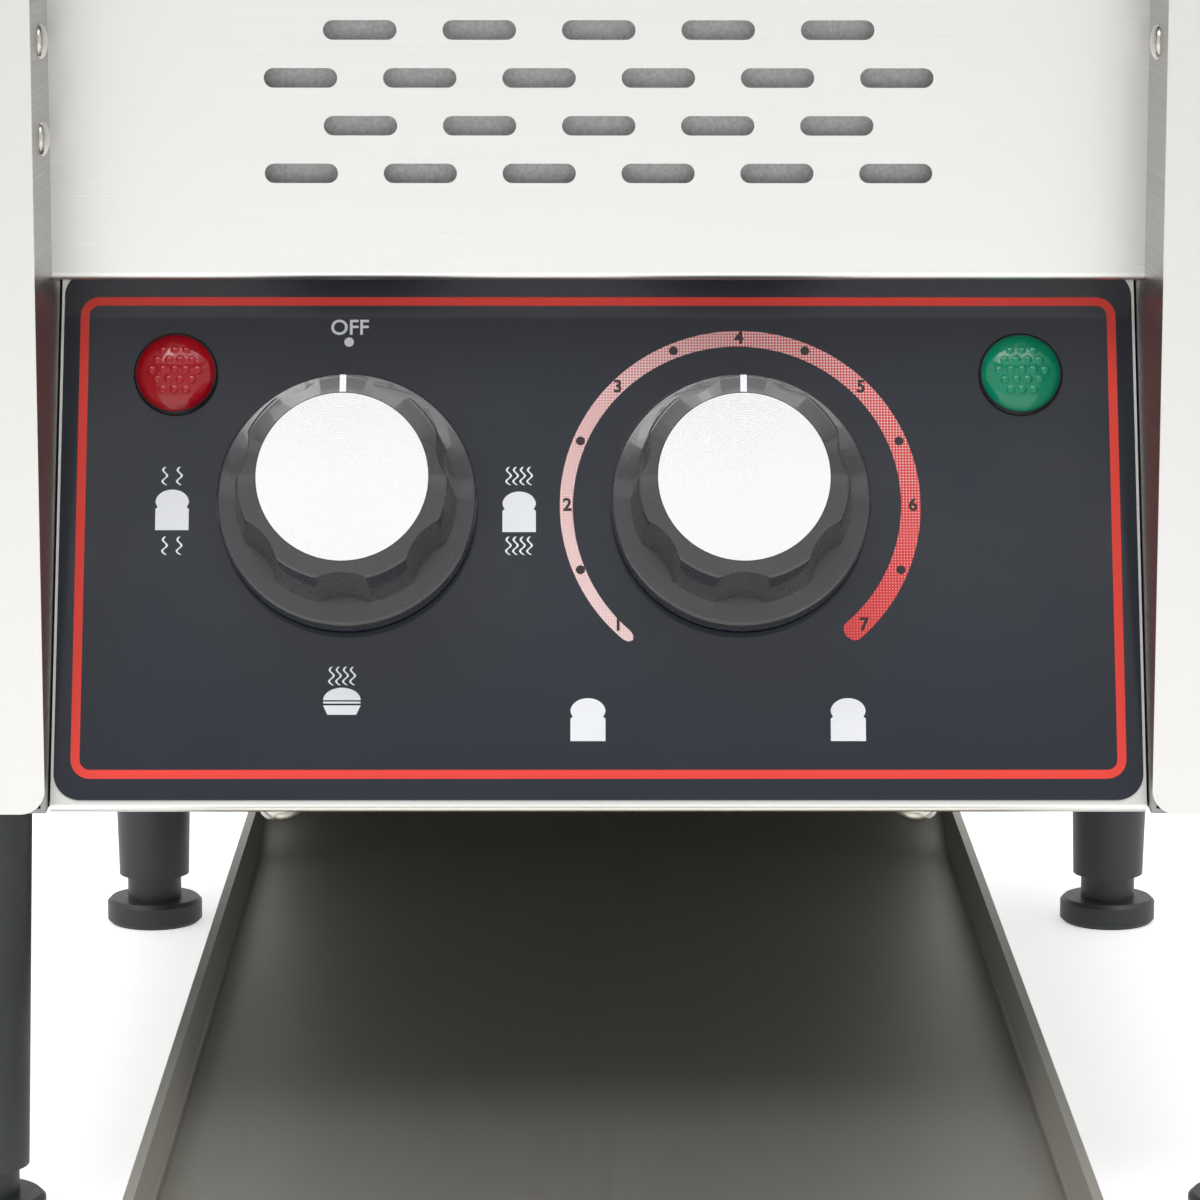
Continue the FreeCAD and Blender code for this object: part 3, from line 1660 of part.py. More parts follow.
# Cable gland under the left bay and the terminal block beside it
gland_blank = fuse(
    "gland_blank",
    [
        rod(
            "gland_cap",
            (gland_spot[0], gland_spot[1], size.leg_height - size.gland_drop),
            size.gland_radius,
            size.gland_drop,
        ),
        rod(
            "gland_neck",
            (gland_spot[0], gland_spot[1], size.leg_height - size.gauge),
            size.gland_neck_radius,
            size.gland_rise + size.gauge * 2,
        ),
    ],
)
gland_bore = rod(
    "gland_bore",
    (gland_spot[0], gland_spot[1], size.leg_height - size.gland_drop - size.overrun),
    size.gland_bore,
    size.gland_drop + size.gland_rise + size.gauge + size.overrun * 2,
)
node("cable_gland", cut("cable_gland", gland_blank, gland_bore))
node(
    "terminal_block",
    box(
        "terminal_block",
        (left_wall - size.gauge - size.block_width, gland_spot[1] - size.gland_setback, pan_top),
        (size.block_width, size.block_length, size.block_height),
    ),
)

doc.recompute()
faults = [piece.Label for piece in doc.Objects if "Invalid" in piece.State or "Error" in piece.State]
faults += [piece.Label for piece in nodes if piece.Shape.isNull() or not piece.Shape.isValid()]
faults += [piece.Label for piece in nodes if not piece.Shape.Solids]
if faults:
    raise SystemExit("failed pieces: " + ", ".join(faults))
os.makedirs("parts", exist_ok=True)
for piece in nodes:
    piece.Shape.exportStep(f"parts/{piece.Label}.step")
    print(piece.Label, len(piece.Shape.Solids), round(piece.Shape.Volume, 1))
print("nodes:", len(nodes))
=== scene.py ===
"""A countertop conveyor toaster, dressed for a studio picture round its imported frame.

Sizes are in millimetres where they are written and in metres where Blender takes them. Each
sub-assembly is a class with its sizes as fields, and each finish is named for the real material.
"""

import logging
import math
from dataclasses import dataclass
from enum import Enum

import bmesh
import bpy
from mathutils import Matrix, Vector

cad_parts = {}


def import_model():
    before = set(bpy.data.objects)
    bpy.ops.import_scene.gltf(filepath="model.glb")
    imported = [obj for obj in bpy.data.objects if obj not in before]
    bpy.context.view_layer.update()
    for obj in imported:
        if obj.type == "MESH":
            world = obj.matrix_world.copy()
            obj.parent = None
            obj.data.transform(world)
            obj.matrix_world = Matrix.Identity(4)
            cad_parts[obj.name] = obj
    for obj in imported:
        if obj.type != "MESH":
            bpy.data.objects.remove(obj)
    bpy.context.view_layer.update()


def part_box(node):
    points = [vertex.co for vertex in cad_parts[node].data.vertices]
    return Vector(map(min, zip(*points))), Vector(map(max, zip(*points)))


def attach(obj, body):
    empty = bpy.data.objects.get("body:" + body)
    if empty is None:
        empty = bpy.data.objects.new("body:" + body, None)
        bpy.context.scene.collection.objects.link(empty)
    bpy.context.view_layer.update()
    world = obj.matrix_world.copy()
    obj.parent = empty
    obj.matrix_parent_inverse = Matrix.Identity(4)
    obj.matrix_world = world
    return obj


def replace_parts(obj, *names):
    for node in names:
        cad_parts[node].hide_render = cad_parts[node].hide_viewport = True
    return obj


LOG = logging.getLogger("toaster")
MM = 0.001
Pair = tuple[float, float]
Triple = tuple[float, float, float]
Colour = tuple[float, float, float, float]
Material = bpy.types.Material
Mesh = bpy.types.Mesh
Node = bpy.types.Node
Socket = bpy.types.NodeSocket
Tree = bpy.types.NodeTree


def linear(colour: str) -> Colour:
    """Turn an sRGB hex colour into the linear values that shaders take.

    Args:
        colour: Six hex digits after a hash mark.

    Returns:
        Red, green, blue and an alpha of one.
    """
    shares = [int(colour[start : start + 2], 16) / 255 for start in (1, 3, 5)]
    turned = [
        share / 12.92 if share <= 0.04045 else ((share + 0.055) / 1.055) ** 2.4 for share in shares
    ]
    return (turned[0], turned[1], turned[2], 1.0)


def dimmed(colour: Colour, share: float) -> Colour:
    """Scale a linear colour's brightness and keep it below one."""
    return tuple(min(1.0, part * share) for part in colour[:3]) + (1.0,)


def add(tree: Tree, kind: str, inputs: dict | None = None, **settings: object) -> Node:
    """Add one node with its settings, its values and its links.

    Args:
        tree: The node tree that takes the node.
        kind: The node's type name.
        inputs: Values or output sockets, by the name or number of the input.
        settings: Attributes of the node.

    Returns:
        The new node.
    """
    node = tree.nodes.new(kind)
    for name, value in settings.items():
        setattr(node, name, value)
    for key, value in (inputs or {}).items():
        if isinstance(value, Socket):
            tree.links.new(value, node.inputs[key])
        else:
            node.inputs[key].default_value = value
    return node


class Grain(Enum):
    """The way that the lines of a brushed sheet run, as unit shares of X, Y and Z."""

    ACROSS = (1, 0, 0)
    DEPTH = (0, 1, 0)
    UPRIGHT = (0, 0, 1)


@dataclass(frozen=True)
class Finish:
    """A moulded or cast surface: one colour, with fine uneven gloss and relief.

    Attributes:
        name: What the material is called.
        colour: Its sRGB colour.
        roughness: Its mean roughness.
        spread: How far the roughness wanders from its mean.
        patch: Size of the uneven patches in millimetres.
        depth: Height of the relief in millimetres.
        metallic: One for a metal.
        coat: Weight of a clear layer on top.
        fade: How far the colour wanders, as a share of it.
    """

    name: str
    colour: str
    roughness: float
    spread: float = 0.05
    patch: float = 6.0
    depth: float = 0.0
    metallic: float = 0.0
    coat: float = 0.0
    fade: float = 0.06

    def stretch(self) -> Triple:
        """Give the pattern's repeats to the metre along X, Y and Z."""
        scale = 1 / (self.patch * MM)
        return (scale, scale, scale)

    def build(self) -> Material:
        """Make the material.

        Returns:
            A node material named for the finish.
        """
        material = bpy.data.materials.new(self.name)
        material.use_nodes = True
        tree = material.node_tree
        tree.nodes.clear()
        shader = add(tree, "ShaderNodeBsdfPrincipled", {"Metallic": self.metallic})
        if self.coat:
            shader.inputs["Coat Weight"].default_value = self.coat
            shader.inputs["Coat Roughness"].default_value = 0.04
        place = add(tree, "ShaderNodeTexCoord").outputs["Object"]
        self.dress(tree, place, shader)
        add(tree, "ShaderNodeOutputMaterial", {"Surface": shader.outputs["BSDF"]})
        return material

    def pattern(self, tree: Tree, place: Socket) -> Socket:
        """Make the uneven pattern that the gloss, colour and relief share.

        Args:
            tree: The material's tree.
            place: Object coordinates in metres.

        Returns:
            A value from nought to one.
        """
        mapping = add(tree, "ShaderNodeMapping", {"Vector": place, "Scale": self.stretch()})
        noise = add(
            tree,
            "ShaderNodeTexNoise",
            {"Vector": mapping.outputs["Vector"], "Scale": 1.0, "Detail": 4.0},
        )
        return noise.outputs["Fac"]

    def dress(self, tree: Tree, place: Socket, shader: Node) -> None:
        """Lay the colour, roughness and relief on the shader.

        Args:
            tree: The material's tree.
            place: Object coordinates in metres.
            shader: The Principled shader to fill.
        """
        pattern = self.pattern(tree, place)
        self.lay_gloss(tree, pattern, shader)
        base = linear(self.colour)
        shade = add(
            tree,
            "ShaderNodeMix",
            {0: pattern, 6: dimmed(base, 1 - self.fade), 7: dimmed(base, 1 + self.fade)},
            data_type="RGBA",
        )
        tree.links.new(shade.outputs[2], shader.inputs["Base Color"])

    def lay_gloss(self, tree: Tree, pattern: Socket, shader: Node) -> None:
        """Drive the roughness and the relief with a pattern.

        Args:
            tree: The material's tree.
            pattern: A value from nought to one.
            shader: The Principled shader to fill.
        """
        gloss = add(
            tree,
            "ShaderNodeMapRange",
            {
                "Value": pattern,
                "From Min": 0.3,
                "From Max": 0.7,
                "To Min": max(0.02, self.roughness - self.spread),
                "To Max": self.roughness + self.spread,
            },
        )
        tree.links.new(gloss.outputs["Result"], shader.inputs["Roughness"])
        if self.depth:
            relief = add(
                tree, "ShaderNodeBump", {"Height": pattern, "Distance": self.depth * MM}
            )
            tree.links.new(relief.outputs["Normal"], shader.inputs["Normal"])


@dataclass(frozen=True)
class BrushedSteel(Finish):
    """Stainless sheet brushed one way: long hairlines that spread each reflection across them.

    The lines of a real brushed sheet are about 0.05 mm wide. They are drawn 0.5 mm wide, so that
    they show in a picture of the whole object.

    Attributes:
        grain: The way that the lines run.
        run: Length of a line in millimetres.
    """

    metallic: float = 1.0
    patch: float = 0.5
    grain: Grain = Grain.ACROSS
    run: float = 90.0

    def stretch(self) -> Triple:
        """Stretch the pattern along the grain."""
        return tuple(
            1 / (self.run * MM) if share else 1 / (self.patch * MM) for share in self.grain.value
        )


@dataclass(frozen=True)
class SpunAluminium(Finish):
    """An aluminium disc faced on a lathe: fine rings round its middle.

    Attributes:
        centre: The disc's middle in metres.
        lean: The disc's lean from upright in radians.
        ring: Spacing of the rings in millimetres.
    """

    metallic: float = 1.0
    centre: Triple = (0.0, 0.0, 0.0)
    lean: float = 0.0
    ring: float = 0.5

    def pattern(self, tree: Tree, place: Socket) -> Socket:
        """Make rings round the disc's own axis.

        Args:
            tree: The material's tree.
            place: Object coordinates in metres.

        Returns:
            A value from nought to one.
        """
        mapping = add(
            tree,
            "ShaderNodeMapping",
            {"Vector": place, "Location": self.centre, "Rotation": (-self.lean, 0, 0)},
            vector_type="TEXTURE",
        )
        rings = add(
            tree,
            "ShaderNodeTexWave",
            {
                "Vector": mapping.outputs["Vector"],
                "Scale": 2 * math.pi / 20 / (self.ring * MM),
                "Distortion": 0.6,
                "Detail": 2.0,
                "Detail Scale": 0.4,
            },
            wave_type="RINGS",
            rings_direction="Y",
        )
        return rings.outputs["Fac"]


@dataclass(frozen=True)
class Glass(Finish):
    """A clear or tinted glass or lens, seen through and glossy.

    Attributes:
        ior: How strongly it bends light.
        clear: Share of the light that it lets through.
    """

    ior: float = 1.46
    clear: float = 1.0

    def dress(self, tree: Tree, place: Socket, shader: Node) -> None:
        """Fill a see-through shader.

        Args:
            tree: The material's tree.
            place: Object coordinates in metres.
            shader: The Principled shader to fill.
        """
        pattern = self.pattern(tree, place)
        self.lay_gloss(tree, pattern, shader)
        shader.inputs["Base Color"].default_value = linear(self.colour)
        shader.inputs["IOR"].default_value = self.ior
        shader.inputs["Transmission Weight"].default_value = self.clear


# Sheet brushed across: a bright face with fine level lines
FLANGE_STEEL = BrushedSteel("stainless_brushed_across", "#eae9e6", 0.32, fade=0.03, depth=0.004)
# The same sheet brushed front to back, a touch darker
COVER_STEEL = BrushedSteel(
    "stainless_brushed_along", "#e0dfdc", 0.36, fade=0.03, depth=0.004, grain=Grain.DEPTH
)
# Duller sheet that mirrors the dark underside as a soft shade
TRAY_STEEL = BrushedSteel(
    "stainless_tray", "#c9c6be", 0.45, fade=0.02, spread=0.006, grain=Grain.DEPTH, run=160.0, patch=1.2
)
# Heat-greyed steel inside the tunnel
INNER_STEEL = BrushedSteel(
    "stainless_inner_sheet", "#989793", 0.34, fade=0.05, depth=0.003, grain=Grain.DEPTH
)
# Galvanised sheet with its large grey spangle
ZINC_SHEET = Finish(
    "galvanised_sheet", "#9b9fa0", 0.48, spread=0.12, patch=5.0, metallic=1.0, fade=0.12
)
# A mottled grey plate behind the slots
BACKING_SHEET = Finish(
    "grey_zinc_backing", "#cccdcd", 0.6, spread=0.1, patch=0.7, metallic=0.3, fade=0.45
)
# Bright rolled sheet that throws the heat back
REFLECTOR = BrushedSteel("bright_rolled_reflector", "#d9d8d4", 0.2, fade=0.03, grain=Grain.ACROSS)
# Lathe-turned steel with fine marks round it
TURNED_STEEL = BrushedSteel(
    "turned_steel", "#b4b4b2", 0.28, fade=0.05, patch=0.4, run=4.0, grain=Grain.UPRIGHT
)
# Nickel plate, slightly yellow
PLATED_SCREW = Finish("nickel_plated_screw", "#c9c7c0", 0.24, spread=0.06, patch=0.9, metallic=1.0)
# Chromed wire, almost a mirror
CHROME_WIRE = Finish("chromed_wire", "#d4d5d6", 0.1, spread=0.04, patch=2.0, metallic=1.0)
# Porous brown bronze of the bushes
BRONZE = Finish("sintered_bronze", "#a0814f", 0.5, spread=0.08, patch=0.5, depth=0.02, metallic=1.0)
# Blue-black gloss film that shows soft reflections
LABEL_FILM = Finish("gloss_polyester_label", "#151c29", 0.13, spread=0.03, patch=24.0, fade=0.08)
# Buffed black phenolic with a thin shine
KNOB_PHENOLIC = Finish(
    "moulded_phenolic", "#3a3b3e", 0.24, spread=0.05, patch=1.4, depth=0.003, fade=0.06, coat=0.6
)
# Fine-grained matt black nylon
LEG_NYLON = Finish("moulded_nylon", "#34373a", 0.42, spread=0.06, patch=0.8, depth=0.02, fade=0.1)
# Plain dull black moulding
BLACK_MOULDING = Finish("black_thermoset", "#1c1c1d", 0.5, patch=1.0, depth=0.01)
# Green board laminate
BOARD_RESIN = Finish("green_circuit_laminate", "#3e5a3f", 0.45, patch=2.0)
# Unglazed cream ceramic
CERAMIC = Finish("steatite_ceramic", "#e6e0d2", 0.62, spread=0.08, patch=0.7, depth=0.02)
# Resistance wire, dull grey-brown from its heat
ELEMENT_WIRE = Finish("oxidised_heating_wire", "#6f6a66", 0.5, spread=0.08, patch=0.6, metallic=1.0)
# Clear quartz tube, faintly frosted
QUARTZ = Glass("fused_quartz", "#f2efe8", 0.12, spread=0.03, patch=14.0)
# Flat screen inks in white, red and black
WHITE_INK = Finish("white_screen_ink", "#f1f3f6", 0.42, patch=0.5, fade=0.03)
RED_INK = Finish("red_screen_ink", "#ee4034", 0.35, patch=0.6, fade=0.05)
BLACK_INK = Finish("black_screen_ink", "#26191c", 0.4, patch=0.5)
# Tinted acrylic lenses, half clear
RED_LENS = Glass("red_acrylic_lens", "#dc1428", 0.08, spread=0.02, patch=2.0, ior=1.49, clear=0.45)
GREEN_LENS = Glass("green_acrylic_lens", "#00ac80", 0.08, spread=0.02, patch=2.0, ior=1.49, clear=0.4)


class MeshMaker:
    """Gathers prisms, bands and tubes into one mesh."""

    def __init__(self) -> None:
        """Start an empty mesh."""
        self.mesh = bmesh.new()

    def loft(self, rings: list[list[Vector]], capped: bool = True) -> None:
        """Join rings of points, one after another, into a skin.

        Args:
            rings: Closed rings with the same number of points.
            capped: Whether the first and last rings are filled.
        """
        rows = [[self.mesh.verts.new(point) for point in ring] for ring in rings]
        count = len(rows[0])
        for first, second in zip(rows, rows[1:]):
            for index in range(count):
                after = (index + 1) % count
                self.mesh.faces.new((first[index], first[after], second[after], second[index]))
        if capped:
            self.mesh.faces.new(rows[0][::-1])
            self.mesh.faces.new(rows[-1])

    def weld(self) -> None:
        """Join points that lie on one another, where a skin meets itself."""
        bmesh.ops.remove_doubles(self.mesh, verts=self.mesh.verts, dist=1e-7)

    def take(self, mesh: Mesh, place: Matrix) -> None:
        """Add a copy of a mesh, moved into place, and delete the original.

        Args:
            mesh: The mesh.
            place: Where it goes.
        """
        mesh.transform(place)
        self.mesh.from_mesh(mesh)
        bpy.data.meshes.remove(mesh)

    def piece(
        self, name: str, material: Material, body: str, smooth: float = 30.0
    ) -> bpy.types.Object:
        """Finish the mesh as a piece that rides on a body.

        Args:
            name: The piece's name.
            material: Its material.
            body: The body that carries it.
            smooth: Edges flatter than this many degrees are shaded smooth.

        Returns:
            The new object.
        """
        bmesh.ops.recalc_face_normals(self.mesh, faces=self.mesh.faces)
        data = bpy.data.meshes.new(name)
        self.mesh.to_mesh(data)
        self.mesh.free()
        data.materials.append(material)
        data.shade_smooth()
        data.set_sharp_from_angle(angle=math.radians(smooth))
        made = bpy.data.objects.new(name, data)
        bpy.context.scene.collection.objects.link(made)
        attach(made, body)
        LOG.info("%s: %d faces on %s", name, len(data.polygons), body)
        return made


def grown(tree: Tree, points: list[tuple], sizes: dict[str, float]) -> Mesh:
    """Run a Geometry Nodes tree over points and keep the result as a plain mesh.

    Args:
        tree: The tree.
        points: Places in metres.
        sizes: The tree's named inputs.

    Returns:
        The finished mesh.
    """
    cloud = bpy.data.meshes.new("places")
    cloud.from_pydata(points, [], [])
    holder = bpy.data.objects.new("places", cloud)
    modifier = holder.modifiers.new("grown", "NODES")
    modifier.node_group = tree
    for item in tree.interface.items_tree:
        if item.in_out == "INPUT" and item.name in sizes:
            modifier[item.identifier] = sizes[item.name]
    bpy.context.scene.collection.objects.link(holder)
    evaluated = holder.evaluated_get(bpy.context.evaluated_depsgraph_get())
    mesh = bpy.data.meshes.new_from_object(evaluated)
    holder.modifiers.remove(modifier)
    bpy.data.objects.remove(holder)
    return mesh


def start_tree(name: str, sizes: tuple[str, ...]) -> tuple[Tree, Node]:
    """Start a Geometry Nodes tree that takes points and named sizes.

    Args:
        name: The tree's name.
        sizes: Names of its inputs after the points.

    Returns:
        The tree and the node that gives its inputs.
    """
    tree = bpy.data.node_groups.new(name, "GeometryNodeTree")
    face = tree.interface
    face.new_socket("Geometry", in_out="INPUT", socket_type="NodeSocketGeometry")
    for size in sizes:
        face.new_socket(size, in_out="INPUT", socket_type="NodeSocketFloat")
    face.new_socket("Geometry", in_out="OUTPUT", socket_type="NodeSocketGeometry")
    return tree, add(tree, "NodeGroupInput")


def end_tree(tree: Tree, copied: dict[str, object], material: Material) -> None:
    """End a tree: copy a piece to every point, make the copies real and dress them.

    Args:
        tree: The tree.
        copied: Inputs of the node that copies the piece.
        material: The finish.
    """
    copies = add(tree, "GeometryNodeInstanceOnPoints", copied)
    real = add(tree, "GeometryNodeRealizeInstances", {"Geometry": copies.outputs["Instances"]})
    inputs = {"Geometry": real.outputs["Geometry"], "Material": material}
    dressed = add(tree, "GeometryNodeSetMaterial", inputs)
    add(tree, "NodeGroupOutput", {"Geometry": dressed.outputs["Geometry"]})


def dress_node(name: str, material: Material) -> None:
    """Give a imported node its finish.

    Args:
        name: The node.
        material: The finish for all its slots.
    """
    data = bpy.data.objects[name].data if name in bpy.data.objects else None
    if data is None:
        raise KeyError(name)
    if not data.materials:
        data.materials.append(material)
    for index in range(len(data.materials)):
        data.materials[index] = material


@dataclass
class Studio:
    """Pale floor, soft lamps, world and the camera of the photograph.

    Attributes:
        camera: The camera's place in millimetres.
        pitch: How far it looks down, in degrees.
        yaw: How far it turns to its left, in degrees.
        roll: How far it rolls, in degrees.
        lens: Focal length for a 36 mm sensor.
        floor_half: Half the floor's side in millimetres.
        floor_glow: How strongly the white floor glows on the object, as a light table does.
        floor_shown: How strongly it glows for the camera.
        surround: Brightness of the even surround that lights the object.
        mirror_scale: Brightness of the lightest band that the metal mirrors.
        mirrored: Brightness of the mirrored surround against the sine of its height.
    """

    camera: Triple = (-7.7, -1051.1, 295.25)
    pitch: float = 9.805
    yaw: float = -0.24
    roll: float = 0.042
    lens: float = 141.0
    floor_half: float = 6000.0
    floor_glow: float = 0.3
    floor_shown: float = 0.55
    surround: float = 0.55
    mirror_scale: float = 1.4
    mirrored: tuple[Pair, ...] = (
        (0.0, 0.64),
        (0.25, 0.66),
        (0.47, 0.55),
        (0.53, 0.5),
        (0.57, 1.0),
        (0.6, 1.0),
        (0.61, 0.18),
        (0.66, 0.22),
        (0.71, 1.0),
        (1.0, 1.0),
    )

    def build(self) -> None:
        """Make the floor, world, lamps and camera."""
        self.make_world()
        self.make_floor()
        self.make_lamps()
        self.make_camera()
        bpy.context.scene.view_settings.view_transform = "Standard"

    def make_world(self) -> None:
        """Make an even grey surround that lights softly and looks white behind the object."""
        world = bpy.data.worlds.new("studio")
        bpy.context.scene.world = world
        world.use_nodes = True
        tree = world.node_tree
        tree.nodes.clear()
        path = add(tree, "ShaderNodeLightPath")
        place = add(tree, "ShaderNodeTexCoord").outputs["Generated"]
        height = add(tree, "ShaderNodeSeparateXYZ", {"Vector": place}).outputs["Z"]
        bands = add(tree, "ShaderNodeFloatCurve", {"Value": height})
        curve = bands.mapping.curves[0]
        for point, (rise, level) in zip(curve.points, (self.mirrored[0], self.mirrored[-1])):
            point.location = (rise, level)
        for rise, level in self.mirrored[1:-1]:
            curve.points.new(rise, level)
        for point in curve.points:
            point.handle_type = "VECTOR"
        bands.mapping.update()
        mirrored = add(
            tree, "ShaderNodeMath", {0: bands.outputs["Value"], 1: self.mirror_scale}, operation="MULTIPLY"
        ).outputs["Value"]
        sharp = add(
            tree,
            "ShaderNodeMath",
            {0: path.outputs["Is Glossy Ray"], 1: path.outputs["Is Transmission Ray"]},
            operation="MAXIMUM",
        ).outputs["Value"]
        lit = add(
            tree, "ShaderNodeMix", {0: sharp, 2: self.surround, 3: mirrored}, data_type="FLOAT"
        ).outputs[0]
        level = add(
            tree, "ShaderNodeMix", {0: path.outputs["Is Camera Ray"], 2: lit, 3: 1.0}, data_type="FLOAT"
        ).outputs[0]
        shader = add(
            tree, "ShaderNodeBackground", {"Color": (1.0, 1.0, 1.0, 1.0), "Strength": level}
        )
        add(tree, "ShaderNodeOutputWorld", {"Surface": shader.outputs["Background"]})

    def make_floor(self) -> None:
        """Lay a wide pale floor under the feet."""
        half = self.floor_half * MM
        data = bpy.data.meshes.new("floor")
        corners = [(-half, -half, 0), (half, -half, 0), (half, half, 0), (-half, half, 0)]
        data.from_pydata(corners, [], [(0, 1, 2, 3)])
        data.materials.append(self.floor_paper())
        floor = bpy.data.objects.new("floor", data)
        bpy.context.scene.collection.objects.link(floor)

    def floor_paper(self) -> Material:
        """Make the white floor, which the photograph shows almost blown out.

        Returns:
            The floor's material.
        """
        material = Finish("white_paper_floor", "#fdfdfd", 0.8, patch=40.0, fade=0.0).build()
        tree = material.node_tree
        shader = tree.nodes["Principled BSDF"]
        path = add(tree, "ShaderNodeLightPath")
        glow = add(
            tree,
            "ShaderNodeMapRange",
            {"Value": path.outputs["Is Camera Ray"], "To Min": self.floor_glow, "To Max": self.floor_shown},
        )
        shader.inputs["Emission Color"].default_value = (1.0, 1.0, 1.0, 1.0)
        tree.links.new(glow.outputs["Result"], shader.inputs["Emission Strength"])
        return material

    def make_lamps(self) -> None:
        """Hang two wide soft boxes, one above and one before the object."""
        for name, place, aim, width, power in (
            ("top_box", (0, -300, 1500), (0, -60, 0), 1400, 14.0),
            ("front_box", (-700, -900, 1900), (0, 0, 150), 900, 8.0),
        ):
            light = bpy.data.lights.new(name, "AREA")
            light.shape = "RECTANGLE"
            light.size = width * MM
            light.size_y = width * MM
            light.energy = power
            lamp = bpy.data.objects.new(name, light)
            lamp.location = Vector(place) * MM
            way = (Vector(aim) - Vector(place)).normalized()
            lamp.rotation_euler = way.to_track_quat("-Z", "Y").to_euler()
            bpy.context.scene.collection.objects.link(lamp)

    def make_camera(self) -> None:
        """Stand the camera where the photograph was taken."""
        data = bpy.data.cameras.new("photo_camera")
        data.sensor_width = 36.0
        data.lens = self.lens
        data.clip_start = 0.05
        data.clip_end = 40.0
        camera = bpy.data.objects.new("photo_camera", data)
        pitch, yaw, roll = (math.radians(turn) for turn in (self.pitch, self.yaw, self.roll))
        ahead = Vector(
            (-math.sin(yaw) * math.cos(pitch), math.cos(yaw) * math.cos(pitch), -math.sin(pitch))
        )
        right = Vector((math.cos(yaw), math.sin(yaw), 0))
        up = right.cross(ahead)
        rolled = right * math.cos(roll) + up * math.sin(roll)
        turn = Matrix((rolled, rolled.cross(ahead), -ahead)).transposed()
        camera.matrix_world = Matrix.Translation(Vector(self.camera) * MM) @ turn.to_4x4()
        bpy.context.scene.collection.objects.link(camera)
        bpy.context.scene.camera = camera


@dataclass
class Panel:
    """The sloped face that carries the label, as a place finder.

    Places on it are given across from its middle, up its slope from the panel's foot, and out of
    the label's face, in millimetres.

    Attributes:
        tilt: Its lean from upright in degrees.
        foot_margin: From the panel's foot to the label's lower edge.
        thickness: The label's thickness.
    """

    tilt: float = 22.0
    foot_margin: float = 2.8
    thickness: float = 0.5

    def __post_init__(self) -> None:
        """Find the panel from its label."""
        low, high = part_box("control_label")
        lean = math.radians(self.tilt)
        self.lean = lean
        self.slope = Vector((0, math.sin(lean), math.cos(lean)))
        self.outward = Vector((0, -math.cos(lean), math.sin(lean)))
        lower_edge = Vector(
            ((low.x + high.x) / 2, low.y, low.z + self.thickness * MM * math.sin(lean))
        )
        self.foot = lower_edge - self.slope * self.foot_margin * MM

    def point(self, across: float, up: float, out: float) -> Vector:
        """Find a place on the panel in metres."""
        return (
            self.foot + Vector((across * MM, 0, 0)) + self.slope * up * MM + self.outward * out * MM
        )

    def turn(self, place: Vector) -> Matrix:
        """Give the matrix that lays a flat drawing, in metres, on the panel at a place."""
        columns = Matrix((Vector((1, 0, 0)), self.slope, self.outward)).transposed()
        return Matrix.Translation(place) @ columns.to_4x4()


def arc(centre: Pair, radius: float, first: float, last: float, steps: int) -> list[Pair]:
    """Sample an arc, with angles in degrees clockwise from straight up.

    Args:
        centre: Its centre.
        radius: Its radius.
        first: The angle that it starts at.
        last: The angle that it ends at.
        steps: How many parts it is cut into.

    Returns:
        Its points, one more than its parts.
    """
    turns = [math.radians(first + (last - first) * step / steps) for step in range(steps + 1)]
    return [(centre[0] + radius * math.sin(turn), centre[1] + radius * math.cos(turn)) for turn in turns]


def rounded(half: float, low: float, high: float, radius: float, middle: float = 0.0) -> list[Pair]:
    """Outline a rectangle with round corners, clockwise.

    Args:
        half: Half its width.
        low: Its lower edge.
        high: Its upper edge.
        radius: Radius of its corners.
        middle: Its middle, across.

    Returns:
        Its points.
    """
    outline: list[Pair] = []
    for side, level, first in ((1, high, 0), (1, low, 90), (-1, low, 180), (-1, high, 270)):
        centre = (
            middle + side * (half - radius),
            level + radius * (1 if level == low else -1),
        )
        outline += arc(centre, radius, first, first + 90, 6)
    return outline


